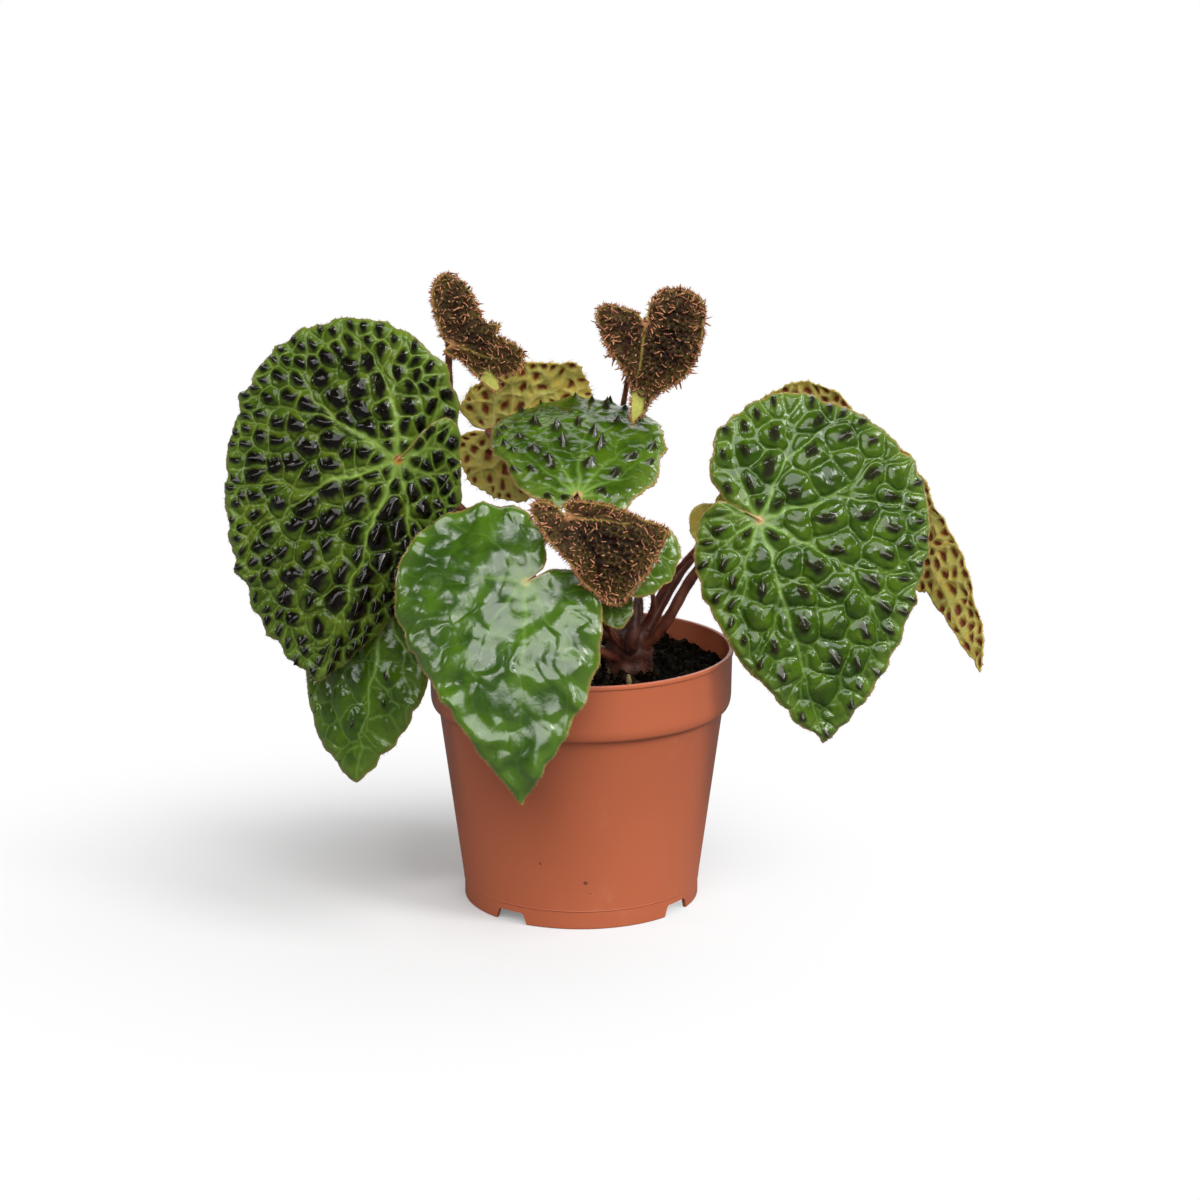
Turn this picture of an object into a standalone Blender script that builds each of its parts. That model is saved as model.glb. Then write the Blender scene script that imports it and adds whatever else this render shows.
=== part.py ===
"""Potted begonia: a young Begonia ferox with blistered, bristly leaves in a 12 cm nursery pot.

Lengths are metres and +Z is up. Every piece hangs on one empty that stands on the pot's axis at
floor level; the leaf plan below is measured in millimetres from that axis, seen from the front,
with X to the right and Y to the back. Each leaf is a blade on its own petiole, and the petioles
rise from a short upright rhizome that sits in the soil.
"""

import math
from dataclasses import dataclass

import bmesh
import bpy
from mathutils import Matrix, Vector, noise
from mathutils.bvhtree import BVHTree

MM = 0.001
GAP = 0.3 * MM

# The object's box is centred on the world origin, which leaves the pot's axis off to one side.
POT_AXIS = Vector((-10.6, 8.8, 0)) * MM

# Pot: radii and heights of the outer wall, from the foot up.
POT_HEIGHT = 101 * MM
POT_WALL = 1.2 * MM
FOOT_RADIUS = 46.8 * MM
FOOT_WALL = 1.8 * MM
FOOT_HEIGHT = 5.4 * MM
MOULD_LINE = 7.4 * MM
MOULD_STEP = 0.25 * MM
WALL_TOP_RADIUS = 56.2 * MM
BAND_BOTTOM = 78.3 * MM
BAND_BOTTOM_RADIUS = 59.2 * MM
BAND_STEP = 1.6 * MM
BAND_ROUND = 0.6 * MM
RIM_RADIUS = 60 * MM
LIP_HEIGHT = 1.6 * MM
LIP_OUT = 0.5 * MM
POT_SIDES = 64
NOTCH_COUNT = 4
NOTCH_FIRST = 54
NOTCH_TOP = 4.6 * MM
NOTCH_WIDTH = 12 * MM
NOTCH_FLARE = 3 * MM
DRAIN_COUNT = 8
DRAIN_RADIUS = 4 * MM
DRAIN_CIRCLE = 33 * MM

# Soil and rhizome
SOIL_TOP = 92 * MM
SOIL_LUMPS = 0.9 * MM
SOIL_LUMP_SCALE = 90
SOIL_SIDES = 40
SOIL_RINGS = 7
RHIZOME_CENTRE = Vector((19, -5, 99)) * MM
RHIZOME_SIZE = Vector((9, 8, 16)) * MM
RHIZOME_RING = 0.05
RHIZOME_RING_RATE = 14

# Outline of a leaf: (degrees from the midrib, reach as a share of the midrib's length).
WIDE_HALF = (
    (0, 1), (17, 0.95), (36, 0.87), (57, 0.79), (77, 0.735), (117, 0.675),
    (154, 0.58), (175, 0.495), (193, 0.4), (208, 0.28), (220, 0.15),
)
NARROW_HALF = (
    (0, 1), (5, 0.92), (14, 0.79), (25, 0.67), (39, 0.55), (57, 0.44), (84, 0.34),
    (112, 0.26), (132, 0.15),
)
# The young leaves are still heart shaped, with a thin tip.
HEART_WIDE_HALF = (
    (0, 1), (4, 0.9), (9, 0.82), (14, 0.72), (23, 0.68), (60, 0.63), (92, 0.59), (112, 0.63),
    (131, 0.58), (146, 0.45), (163, 0.33), (176, 0.18),
)
HEART_NARROW_HALF = (
    (0, 1), (2, 0.75), (8, 0.58), (22, 0.49), (43, 0.45), (74, 0.44), (98, 0.49), (108, 0.42),
    (118, 0.24), (134, 0.1),
)
# The youngest one has only half unrolled, so its big lobe still stands up past the petiole, a
# rolled corner stands out beside it and the tip hangs from the lower edge.
FURLED_WIDE_HALF = (
    (0, 1), (10, 0.95), (18, 0.84), (26, 0.62), (33, 0.62), (40, 0.68), (47, 0.55), (54, 0.51),
    (64, 0.56), (83, 0.72), (97, 0.84), (108, 0.92), (116, 0.88), (126, 0.7), (134, 0.43),
    (145, 0.2), (165, 0.12),
)
FURLED_NARROW_HALF = (
    (0, 1), (7, 0.9), (12, 0.78), (19, 0.78), (26, 0.86), (30, 0.78), (34, 0.36), (45, 0.2),
    (70, 0.15), (120, 0.12),
)
# The leaf behind the right one is sickle shaped: its tip is drawn out and swings to one side.
SICKLE_WIDE_HALF = (
    (0, 1), (2, 0.88), (3, 0.76), (5, 0.66), (9, 0.57), (18, 0.52), (40, 0.5), (70, 0.52),
    (110, 0.52), (140, 0.5), (160, 0.47), (180, 0.42), (200, 0.34), (215, 0.23), (228, 0.12),
)
SICKLE_NARROW_HALF = (
    (0, 1), (6, 0.88), (11, 0.72), (17, 0.54), (29, 0.37), (46, 0.29), (62, 0.25), (78, 0.21),
    (100, 0.18), (125, 0.13),
)
# The large left leaf closes up: its wide lobe swings round until it meets the narrow one.
CLOSED_WIDE_HALF = (
    (0, 1), (17, 0.94), (36, 0.85), (57, 0.775), (77, 0.745), (100, 0.72), (117, 0.69), (154, 0.57),
    (175, 0.465), (193, 0.355), (208, 0.25), (220, 0.14),
)
# The front leaf is a shield: its lobes stay apart and its flanks run straight to the tip.
SHIELD_WIDE_HALF = (
    (0, 1), (8, 0.92), (18, 0.83), (27, 0.77), (40, 0.73), (53, 0.71), (77, 0.7), (117, 0.68),
    (140, 0.64), (160, 0.56), (175, 0.47), (190, 0.36), (205, 0.24), (220, 0.12),
)
SHIELD_NARROW_HALF = (
    (0, 1), (5, 0.93), (14, 0.82), (25, 0.7), (39, 0.58), (57, 0.45), (84, 0.34), (112, 0.25),
    (133, 0.14),
)
# The right leaf is broad across the middle, and the top one opens like a fan with hardly a lobe.
BROAD_WIDE_HALF = (
    (0, 1), (17, 0.93), (36, 0.86), (57, 0.82), (77, 0.79), (100, 0.72), (117, 0.66), (154, 0.54),
    (175, 0.46), (193, 0.37), (208, 0.26), (220, 0.14),
)
FAN_WIDE_HALF = (
    (0, 1), (10, 1.03), (25, 0.95), (41, 0.86), (46, 0.77), (55, 0.64), (65, 0.47), (87, 0.3),
    (103, 0.23), (140, 0.1),
)
FAN_NARROW_HALF = (
    (0, 1), (15, 0.96), (24, 0.91), (31, 0.84), (43, 0.71), (56, 0.55), (86, 0.34), (107, 0.27),
    (150, 0.12),
)
# The bristly front leaf is cupped, so its wide half ends in a corner.
CUPPED_WIDE_HALF = (
    (0, 1), (18, 0.97), (38, 0.97), (54, 1), (66, 0.76), (84, 0.46), (120, 0.33), (153, 0.3),
    (185, 0.38), (200, 0.36), (215, 0.2),
)
CUPPED_NARROW_HALF = ((0, 1), (7, 0.74), (24, 0.46), (45, 0.3), (80, 0.2), (120, 0.12))
OUTLINES = {
    "leaf": (WIDE_HALF, NARROW_HALF),
    "heart": (HEART_WIDE_HALF, HEART_NARROW_HALF),
    "furled": (FURLED_WIDE_HALF, FURLED_NARROW_HALF),
    "sickle": (SICKLE_WIDE_HALF, SICKLE_NARROW_HALF),
    "closed": (CLOSED_WIDE_HALF, NARROW_HALF),
    "shield": (SHIELD_WIDE_HALF, SHIELD_NARROW_HALF),
    "cupped": (CUPPED_WIDE_HALF, CUPPED_NARROW_HALF),
    "broad": (BROAD_WIDE_HALF, NARROW_HALF),
    "fan": (FAN_WIDE_HALF, FAN_NARROW_HALF),
}

BLADE_THICKNESS = 0.9
SOFT_FOLD = 0.03
CURL_SPAN = 0.6
STEM_STRAIGHT = 2
PETIOLE_GAP = 0.7


@dataclass
class Leaf:
    """One leaf of the plan: lengths in millimetres, angles in degrees."""

    name: str
    junction: tuple
    length: float
    faces: tuple
    spin: float
    wide_side: int = 1
    outline: str = "leaf"
    wide: float = 1.0
    narrow: float = 1.0
    lobes: float = 1.0
    taper: float = 0.0
    droop: float = 10.0
    lobe_drop: float = 5.0
    fold_wide: float = 5.0
    fold_narrow: float = 5.0
    curl_wide: float = 15.0
    curl_narrow: float = 20.0
    spokes: int = 26
    rings: int = 4
    colour: str = "leaf_green"
    petiole_radius: float = 1.6
    bud_height: float = 104
    route: tuple = ()


# faces is where the upper side looks: degrees round from the front towards the right, then up.
# spin turns the tip round that direction, from straight down towards the right. wide_side is 1
# where the wide half is on the right of a tip that points down, and -1 where it is on the left.
LEAVES = (
    Leaf(
        "left_large", (-68, -36, 183), 94, (-8, 10), -21, wide_side=-1, outline="closed",
        wide=1.02, narrow=0.97, lobes=0.95, droop=20, lobe_drop=8, fold_wide=4, fold_narrow=35,
        curl_wide=14, curl_narrow=30, spokes=38, rings=5, colour="leaf_dark", petiole_radius=2.2,
        bud_height=104, route=((-24, 2, 132), (-54, 0, 164)),
    ),
    Leaf(
        "left_low", (-75, -20, 122), 70, (-5, 14), -10, wide_side=-1, wide=0.88, narrow=0.85,
        droop=15, fold_wide=30, fold_narrow=5, curl_wide=20, curl_narrow=10,
        spokes=32, petiole_radius=1.9, bud_height=98, route=((-20, 2, 110), (-58, 8, 116)),
    ),
    Leaf(
        "front", (-20, -62, 142), 85, (-4, 36), 0, wide_side=-1, outline="shield", wide=0.87,
        narrow=0.96, taper=0.45, lobes=0.75, droop=38, lobe_drop=28, fold_wide=5, fold_narrow=5,
        curl_wide=14, curl_narrow=16, spokes=36, rings=5, colour="leaf_bright", petiole_radius=2.0,
        bud_height=98, route=((-2, -28, 110), (-14, -46, 122)),
    ),
    Leaf(
        "top", (-1, -30, 168), 67, (0, 46), 176, outline="fan", droop=42, lobe_drop=15,
        fold_wide=0, fold_narrow=0, curl_wide=25, curl_narrow=25, spokes=32, petiole_radius=1.8,
        bud_height=107, route=((10, -10, 130), (1, -16, 150)),
    ),
    Leaf(
        "bristly_front", (-4, -63, 167), 37, (5, 30), 82, wide_side=-1, outline="cupped",
        fold_wide=5, fold_narrow=15, curl_wide=15, spokes=30, colour="leaf_brown",
        petiole_radius=1.3, bud_height=104, route=((6, -30, 122), (5, -48, 142)),
    ),
    Leaf(
        "pleated", (22.5, -38, 151), 24, (10, 30), -42, fold_wide=0, fold_narrow=0,
        spokes=22, rings=3, petiole_radius=1.0, bud_height=108, route=((28, -20, 124),),
    ),
    Leaf(
        "olive", (11, -40, 130), 12.5, (0, 30), 5, fold_wide=0, fold_narrow=0, spokes=20, rings=2,
        petiole_radius=0.8, bud_height=101, route=((11, -26, 114),),
    ),
    Leaf(
        "right_large", (68, -28, 158), 91, (4, 18), 16, outline="broad", wide=0.99, narrow=0.88,
        taper=0.3, droop=22, lobe_drop=8, fold_wide=2, fold_narrow=5, curl_wide=15,
        curl_narrow=20, spokes=38, rings=5, petiole_radius=2.3, bud_height=101,
        route=((33, -13, 114), (46, -14, 136)),
    ),
    Leaf(
        "back_right", (112, 44, 165), 102, (155, 6), -42, outline="sickle", narrow=0.95,
        droop=44, lobe_drop=0, fold_wide=-10, fold_narrow=5, curl_wide=20, curl_narrow=30,
        spokes=40, colour="leaf_olive", petiole_radius=2.2, bud_height=104,
        route=((46, 8, 138), (84, 24, 160)),
    ),
    Leaf(
        "back_left", (-36, 40, 179), 46, (180, 5), -127, wide=0.95, narrow=1.25, lobes=0.8,
        droop=5, spokes=28, colour="leaf_olive", petiole_radius=1.6, bud_height=103,
        route=((4, 14, 128), (-20, 26, 160)),
    ),
    Leaf(
        "bristly_left", (-50, 0, 221), 30, (10, 10), 71, outline="furled", fold_narrow=0,
        curl_wide=5, curl_narrow=10, spokes=48, colour="leaf_brown", petiole_radius=1.7,
        bud_height=108, route=((-10, 9, 120), (-42, 14, 140), (-52, 12, 162), (-51, 8, 190)),
    ),
    Leaf(
        "bristly_heart", (25, 5, 228.5), 40, (5, 15), -9, outline="heart", fold_wide=10,
        fold_narrow=10, curl_wide=10, curl_narrow=10, spokes=36, colour="leaf_brown",
        petiole_radius=1.3, bud_height=110, route=((16, 14, 130), (14, 35, 165), (18, 27, 200)),
    ),
    Leaf(
        "behind_right", (55, -2, 156), 25, (180, 10), -92, fold_wide=0, fold_narrow=0,
        spokes=22, rings=3, colour="leaf_olive", petiole_radius=1.1, bud_height=108,
        route=((34, -2, 128), (50, -10, 148)),
    ),
)

# Stipules: (bud height, points, radius at each point from the rhizome out), in millimetres.
STIPULES = {
    "stipule_front": (100, ((20, -16, 108), (22, -14, 124)), (2.6, 2.8, 3.0, 0.5)),
    "stipule_back": (106, ((22, 8, 112), (23, 10, 121)), (2.0, 2.2, 2.2, 0.4)),
}

# Loose bits on the soil: (x, y, size along X, size along Y, height), in millimetres.
SOIL_BITS = {
    "bark_chip": (27, -32, 5.0, 2.4, 2.0),
    "perlite_front": (12, -38, 1.8, 1.6, 1.5),
    "perlite_right": (38, -20, 1.5, 1.3, 1.2),
    "perlite_left": (-18, -34, 1.7, 1.5, 1.4),
    "perlite_back": (20, 32, 2.0, 1.6, 1.5),
}

# Base colour and roughness of each material.
MATERIALS = {
    "pot_plastic": ((0.50, 0.125, 0.055), 0.45),
    "soil": ((0.018, 0.012, 0.008), 0.95),
    "leaf_dark": ((0.035, 0.075, 0.018), 0.35),
    "leaf_green": ((0.055, 0.16, 0.025), 0.35),
    "leaf_bright": ((0.10, 0.27, 0.035), 0.3),
    "leaf_olive": ((0.25, 0.23, 0.05), 0.5),
    "leaf_brown": ((0.13, 0.06, 0.03), 0.6),
    "stem_red": ((0.20, 0.035, 0.02), 0.45),
    "bark": ((0.10, 0.035, 0.025), 0.7),
    "perlite": ((0.72, 0.68, 0.55), 0.8),
}


def clear_scene():
    for obj in list(bpy.data.objects):
        bpy.data.objects.remove(obj, do_unlink=True)


def make_material(name):
    colour, roughness = MATERIALS[name]
    material = bpy.data.materials.new(name)
    material.use_nodes = True
    shader = material.node_tree.nodes["Principled BSDF"]
    shader.inputs["Base Color"].default_value = (*colour, 1)
    shader.inputs["Roughness"].default_value = roughness
    material.diffuse_color = (*colour, 1)
    return material


def add_object(name, data, material, parent):
    obj = bpy.data.objects.new(name, data)
    bpy.context.collection.objects.link(obj)
    data.materials.append(material)
    obj.parent = parent
    return obj


def add_mesh(name, body, material, parent, smooth=True):
    """Turns a bmesh into a named object, with its faces outwards and its sides smooth."""
    bmesh.ops.recalc_face_normals(body, faces=body.faces)
    mesh = bpy.data.meshes.new(name)
    body.to_mesh(mesh)
    body.free()
    if smooth:
        mesh.shade_smooth()
        mesh.set_sharp_from_angle(angle=math.radians(40))
    return add_object(name, mesh, material, parent)


def turned(profile, sides):
    """A solid of revolution about Z from a closed list of (radius, height) points."""
    body = bmesh.new()
    corners = [body.verts.new((radius, 0, height)) for radius, height in profile]
    edges = [body.edges.new((a, b)) for a, b in zip(corners, corners[1:])]
    if min(profile[0][0], profile[-1][0]) > 0:
        edges.append(body.edges.new((corners[-1], corners[0])))
    bmesh.ops.spin(
        body, geom=corners + edges, axis=(0, 0, 1), cent=(0, 0, 0), steps=sides,
        angle=math.tau, use_merge=True,
    )
    bmesh.ops.remove_doubles(body, verts=body.verts, dist=1e-6)
    return body


def cut(obj, cutter_body, name):
    """Cuts a hidden tool out of an object with an exact Boolean."""
    cutter = add_mesh(name, cutter_body, obj.data.materials[0], obj.parent, smooth=False)
    cutter.hide_render = True
    cutter.display_type = "WIRE"
    modifier = obj.modifiers.new(name, "BOOLEAN")
    modifier.operation = "DIFFERENCE"
    modifier.solver = "EXACT"
    modifier.object = cutter


def wall_radius(height):
    """Outer radius of the pot's plain wall at a height."""
    share = (height - MOULD_LINE) / (BAND_BOTTOM - MOULD_LINE)
    return FOOT_RADIUS + (WALL_TOP_RADIUS - FOOT_RADIUS) * max(share, 0)


def band_radius(height):
    """Outer radius of the wide band under the rim at a height."""
    share = (height - BAND_BOTTOM) / (POT_HEIGHT - BAND_BOTTOM)
    return BAND_BOTTOM_RADIUS + (RIM_RADIUS - BAND_BOTTOM_RADIUS) * share


def pot_profile():
    """Foot, mould line, wall, band and lip on the outside, then the inside and the raised floor."""
    floor_top = FOOT_HEIGHT + POT_WALL
    inner_step = BAND_BOTTOM + BAND_STEP
    lip_bottom = POT_HEIGHT - LIP_HEIGHT
    outside = [
        (FOOT_RADIUS - MOULD_STEP, 0),
        (FOOT_RADIUS - MOULD_STEP, MOULD_LINE - MOULD_STEP),
        (FOOT_RADIUS, MOULD_LINE),
        (wall_radius(BAND_BOTTOM), BAND_BOTTOM),
        (BAND_BOTTOM_RADIUS - BAND_ROUND, BAND_BOTTOM),
        (BAND_BOTTOM_RADIUS, BAND_BOTTOM + 2 * BAND_ROUND),
        (band_radius(lip_bottom) - MOULD_STEP, lip_bottom),
        (RIM_RADIUS, lip_bottom + MOULD_STEP),
        (RIM_RADIUS, POT_HEIGHT - MOULD_STEP),
        (RIM_RADIUS - MOULD_STEP, POT_HEIGHT),
    ]
    inside = [
        (RIM_RADIUS - POT_WALL - LIP_OUT, POT_HEIGHT),
        (band_radius(inner_step) - POT_WALL, inner_step),
        (wall_radius(inner_step) - POT_WALL, inner_step),
        (wall_radius(floor_top) - POT_WALL, floor_top),
        (0, floor_top),
        (0, FOOT_HEIGHT),
        (FOOT_RADIUS - FOOT_WALL, FOOT_HEIGHT),
        (FOOT_RADIUS - FOOT_WALL, 0),
    ]
    return outside + inside


def notch_tool(angle):
    """A wedge that cuts one foot notch, wider at the floor than at its top."""
    body = bmesh.new()
    turn = Matrix.Rotation(math.radians(angle - 90), 4, "Z")
    corners = []
    for radius in (FOOT_RADIUS - 3 * FOOT_WALL, FOOT_RADIUS + FOOT_WALL):
        for half, height in (
            (NOTCH_WIDTH / 2 + NOTCH_FLARE, -NOTCH_TOP),
            (NOTCH_WIDTH / 2, NOTCH_TOP),
        ):
            corners += [turn @ Vector((radius, side * half, height)) for side in (-1, 1)]
    bmesh.ops.convex_hull(body, input=[body.verts.new(corner) for corner in corners])
    return body


def drain_tool(angle):
    body = bmesh.new()
    place = Matrix.Rotation(math.radians(angle), 4, "Z") @ Matrix.Translation(
        (DRAIN_CIRCLE, 0, FOOT_HEIGHT)
    )
    bmesh.ops.create_cone(
        body, cap_ends=True, segments=12, radius1=DRAIN_RADIUS, radius2=DRAIN_RADIUS,
        depth=6 * POT_WALL, matrix=place,
    )
    return body


def make_pot(material, parent):
    """A lathe-turned pot with notches in its foot and drain holes in its raised floor."""
    # The lathe's ring closes on the axis, so the profile runs from the floor's underside out,
    # up the outside and back down the inside to the floor's top.
    profile = pot_profile()
    centre = profile.index((0, FOOT_HEIGHT))
    pot = add_mesh("pot", turned(profile[centre:] + profile[:centre], POT_SIDES), material, parent)
    for index in range(NOTCH_COUNT):
        angle = NOTCH_FIRST + index * 360 / NOTCH_COUNT
        cut(pot, notch_tool(angle), f"notch_tool_{index + 1}")
    for index in range(DRAIN_COUNT):
        cut(pot, drain_tool(index * 360 / DRAIN_COUNT), f"drain_tool_{index + 1}")
    return pot


def lumpy(point, size, scale):
    """Moves a point up or down by smooth noise."""
    return point + Vector((0, 0, size * noise.noise(point * scale)))


def make_rhizome_body(extra=0.0):
    """A short bent egg with the ring marks of old leaf scars, grown by extra all over."""
    body = bmesh.new()
    bmesh.ops.create_uvsphere(body, u_segments=20, v_segments=14, radius=1)
    for vert in body.verts:
        ring = 1 + RHIZOME_RING * math.sin(vert.co.z * RHIZOME_RING_RATE)
        scaled = Vector(
            (vert.co.x * (RHIZOME_SIZE.x * ring + extra),
             vert.co.y * (RHIZOME_SIZE.y * ring + extra),
             vert.co.z * (RHIZOME_SIZE.z + extra))
        )
        vert.co = RHIZOME_CENTRE + scaled
    return body


def make_soil(material, parent):
    """A plug of peat that fills the pot, with an uneven top and a pocket for the rhizome."""
    floor = FOOT_HEIGHT + POT_WALL + GAP
    step = BAND_BOTTOM + BAND_STEP + GAP
    inset = POT_WALL + GAP
    top_radius = band_radius(SOIL_TOP) - 2 * inset
    profile = [
        (0, floor),
        (wall_radius(floor) - inset, floor),
        (wall_radius(step) - inset - GAP, step),
        (band_radius(step) - inset - LIP_OUT, step),
        (top_radius, SOIL_TOP),
    ]
    profile += [(top_radius * i / SOIL_RINGS, SOIL_TOP) for i in reversed(range(SOIL_RINGS))]
    body = turned(profile, SOIL_SIDES)
    for vert in body.verts:
        if vert.co.z > SOIL_TOP - GAP and vert.co.xy.length < top_radius - GAP:
            vert.co = lumpy(vert.co, SOIL_LUMPS, SOIL_LUMP_SCALE)
    soil = add_mesh("soil", body, material, parent)
    cut(soil, make_rhizome_body(extra=GAP), "rhizome_pocket_tool")
    return soil


def reach_at(table, angle):
    """Reach at an angle, by a smooth curve through the outline's points."""
    for index in range(len(table) - 1):
        if angle <= table[index + 1][0]:
            break
    (a0, r0), (a1, r1) = table[index], table[index + 1]

    def slope(i):
        low, high = max(i - 1, 0), min(i + 1, len(table) - 1)
        return (table[high][1] - table[low][1]) / (table[high][0] - table[low][0])

    width = a1 - a0
    t = (angle - a0) / width
    return (
        (2 * t**3 - 3 * t**2 + 1) * r0
        + (t**3 - 2 * t**2 + t) * width * slope(index)
        + (3 * t**2 - 2 * t**3) * r1
        + (t**3 - t**2) * width * slope(index + 1)
    )


def outline_points(leaf):
    """Flat outline from the narrow half's lobe round the tip to the wide half's lobe, in mm."""
    wide_table, narrow_table = OUTLINES[leaf.outline]
    halves = ((narrow_table, -1, leaf.narrow), (wide_table, 1, leaf.wide))
    points = []
    for table, sign, width in halves:
        last = table[-1][0]
        count = round(leaf.spokes * last / (wide_table[-1][0] + narrow_table[-1][0]))
        half = []
        for i in range(count + 1):
            angle = last * i / count
            reach = reach_at(table, angle)
            x = reach * math.cos(math.radians(angle))
            y = reach * math.sin(math.radians(angle)) * width
            y *= 1 - leaf.taper * max(x, 0) ** 1.5
            x *= 1 if x > 0 else leaf.lobes
            half.append((x * leaf.length, sign * y * leaf.length))
        points += half[::-1] if sign < 0 else half[1:]
    return points


def bend(distance, start, rate):
    """Follows a strip that starts at an angle and turns steadily: (run, drop, end angle)."""
    end = start + rate * distance
    if abs(rate) < 1e-6:
        return distance * math.cos(start), distance * math.sin(start), end
    run = (math.sin(end) - math.sin(start)) / rate
    drop = (math.cos(start) - math.cos(end)) / rate
    return run, drop, end


def curved(leaf, x, y, height):
    """Point of the curved blade over a flat point, in mm in the blade's own frame."""
    ahead = 1 if x >= 0 else -1
    droop = leaf.droop if ahead > 0 else leaf.lobe_drop
    run, drop, tilt = bend(abs(x), 0, math.radians(droop) / leaf.length)
    fold, curl = (
        (leaf.fold_wide, leaf.curl_wide) if y > 0 else (leaf.fold_narrow, leaf.curl_narrow)
    )
    fold = math.radians(fold)
    curl_rate = math.radians(curl) / (CURL_SPAN * leaf.length)
    soft = SOFT_FOLD * leaf.length
    out = bend(abs(y), fold, curl_rate)[0]
    fall = bend(math.hypot(y, soft) - soft, fold, curl_rate)[1]
    lift = height - fall
    return Vector(
        (
            ahead * (run + math.sin(tilt) * lift),
            math.copysign(out, y) * leaf.wide_side,
            -drop + math.cos(tilt) * lift,
        )
    )


def blade_frame(leaf):
    """Matrix that takes the blade's own frame, in mm, to the pot's frame, in metres."""
    round_from_front, up = (math.radians(angle) for angle in leaf.faces)
    normal = Vector(
        (
            math.sin(round_from_front) * math.cos(up),
            -math.cos(round_from_front) * math.cos(up),
            math.sin(up),
        )
    )
    down = (Vector((0, 0, -1)) - normal * -normal.z).normalized()
    across = normal.cross(down)
    spin = math.radians(leaf.spin)
    tip = math.cos(spin) * down + math.sin(spin) * across
    side = normal.cross(tip)
    turn = Matrix((tip, side, normal)).transposed().to_4x4()
    return Matrix.Translation(Vector(leaf.junction) * MM) @ Matrix.Scale(MM, 4) @ turn


def make_blade(leaf, material, parent):
    """A thin closed blade: rings of points out from the petiole, above and below."""
    frame = blade_frame(leaf)
    outline = outline_points(leaf)
    body = bmesh.new()

    def layer(height):
        middle = body.verts.new(frame @ curved(leaf, 0, 0, height))
        rings = [
            [
                body.verts.new(
                    frame @ curved(leaf, x * ring / leaf.rings, y * ring / leaf.rings, height)
                )
                for x, y in outline
            ]
            for ring in range(1, leaf.rings + 1)
        ]
        return middle, rings

    top_middle, top = layer(BLADE_THICKNESS / 2)
    low_middle, low = layer(-BLADE_THICKNESS / 2)
    for middle, rings in ((top_middle, top), (low_middle, low)):
        for a, b in zip(rings[0], rings[0][1:]):
            body.faces.new((middle, a, b))
        for inner, outer in zip(rings, rings[1:]):
            for i in range(len(inner) - 1):
                body.faces.new((inner[i], outer[i], outer[i + 1], inner[i + 1]))
    for i in range(len(outline) - 1):
        body.faces.new((top[-1][i], low[-1][i], low[-1][i + 1], top[-1][i + 1]))
    for end in (0, -1):
        body.faces.new((top_middle, low_middle, low[0][end], top[0][end]))
        for ring in range(leaf.rings - 1):
            body.faces.new(
                (top[ring][end], low[ring][end], low[ring + 1][end], top[ring + 1][end])
            )
    return add_mesh(f"blade_{leaf.name}", body, material, parent)


def make_tube(name, points, radii, material, parent):
    """A closed round stem through the points (metres), with a radius at each."""
    curve = bpy.data.curves.new(name, "CURVE")
    curve.dimensions = "3D"
    curve.bevel_depth = 1.0
    curve.bevel_resolution = 2
    curve.resolution_u = 4
    curve.use_fill_caps = True
    spline = curve.splines.new("BEZIER")
    spline.bezier_points.add(len(points) - 1)
    for knot, point, radius in zip(spline.bezier_points, points, radii):
        knot.co = point
        knot.radius = radius
        knot.handle_left_type = "AUTO"
        knot.handle_right_type = "AUTO"
    return add_object(name, curve, material, parent)


def rooted(tree, bud_height, route, radius):
    """A stem's route (mm) with its foot set square on the rhizome's side, in metres."""
    points = [Vector(point) * MM for point in route]
    inside = Vector((RHIZOME_CENTRE.x, RHIZOME_CENTRE.y, bud_height * MM))
    aim = Vector((points[0].x, points[0].y, inside.z))
    foot, outwards, _, _ = tree.ray_cast(inside, (aim - inside).normalized())
    return [foot + outwards * GAP, foot + outwards * (GAP + STEM_STRAIGHT * radius), *points]


def make_petiole(leaf, tree, material, parent):
    """A petiole from the rhizome's side to just under its blade, square to both."""
    radius = leaf.petiole_radius * MM
    frame = blade_frame(leaf)
    under = -BLADE_THICKNESS / 2 - PETIOLE_GAP
    straight = STEM_STRAIGHT * leaf.petiole_radius
    points = rooted(tree, leaf.bud_height, leaf.route, radius)
    points += [frame @ Vector((0, 0, under - straight)), frame @ Vector((0, 0, under))]
    radii = [radius * (1 - 0.25 * i / (len(points) - 1)) for i in range(len(points))]
    return make_tube(f"petiole_{leaf.name}", points, radii, material, parent)


def make_stipule(name, tree, material, parent):
    bud_height, route, radii = STIPULES[name]
    radii = [radius * MM for radius in radii]
    points = rooted(tree, bud_height, route, radii[0])
    return make_tube(name, points, radii, material, parent)


def make_soil_bit(name, soil_tree, material, parent):
    """A pebble-like bit that rests on the soil."""
    x, y, long, wide, high = SOIL_BITS[name]
    above = Vector((x * MM, y * MM, POT_HEIGHT))
    ground = soil_tree.ray_cast(above, Vector((0, 0, -1)))[0]
    body = bmesh.new()
    bmesh.ops.create_icosphere(body, subdivisions=2, radius=1)
    half = Vector((long, wide, high)) * MM / 2
    for vert in body.verts:
        rough = 1 + 0.25 * noise.noise(vert.co * 1.7 + Vector((x, y, 0)))
        vert.co = Vector(vert.co[i] * half[i] * rough for i in range(3))
    lowest = min(vert.co.z for vert in body.verts)
    lift = Vector((ground.x, ground.y, ground.z + 2 * GAP - lowest))
    bmesh.ops.translate(body, verts=body.verts, vec=lift)
    return add_mesh(name, body, material, parent)


def tree_of(obj):
    """A search tree of an object's mesh, in the pot's frame."""
    return BVHTree.FromObject(obj, bpy.context.evaluated_depsgraph_get())


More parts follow.
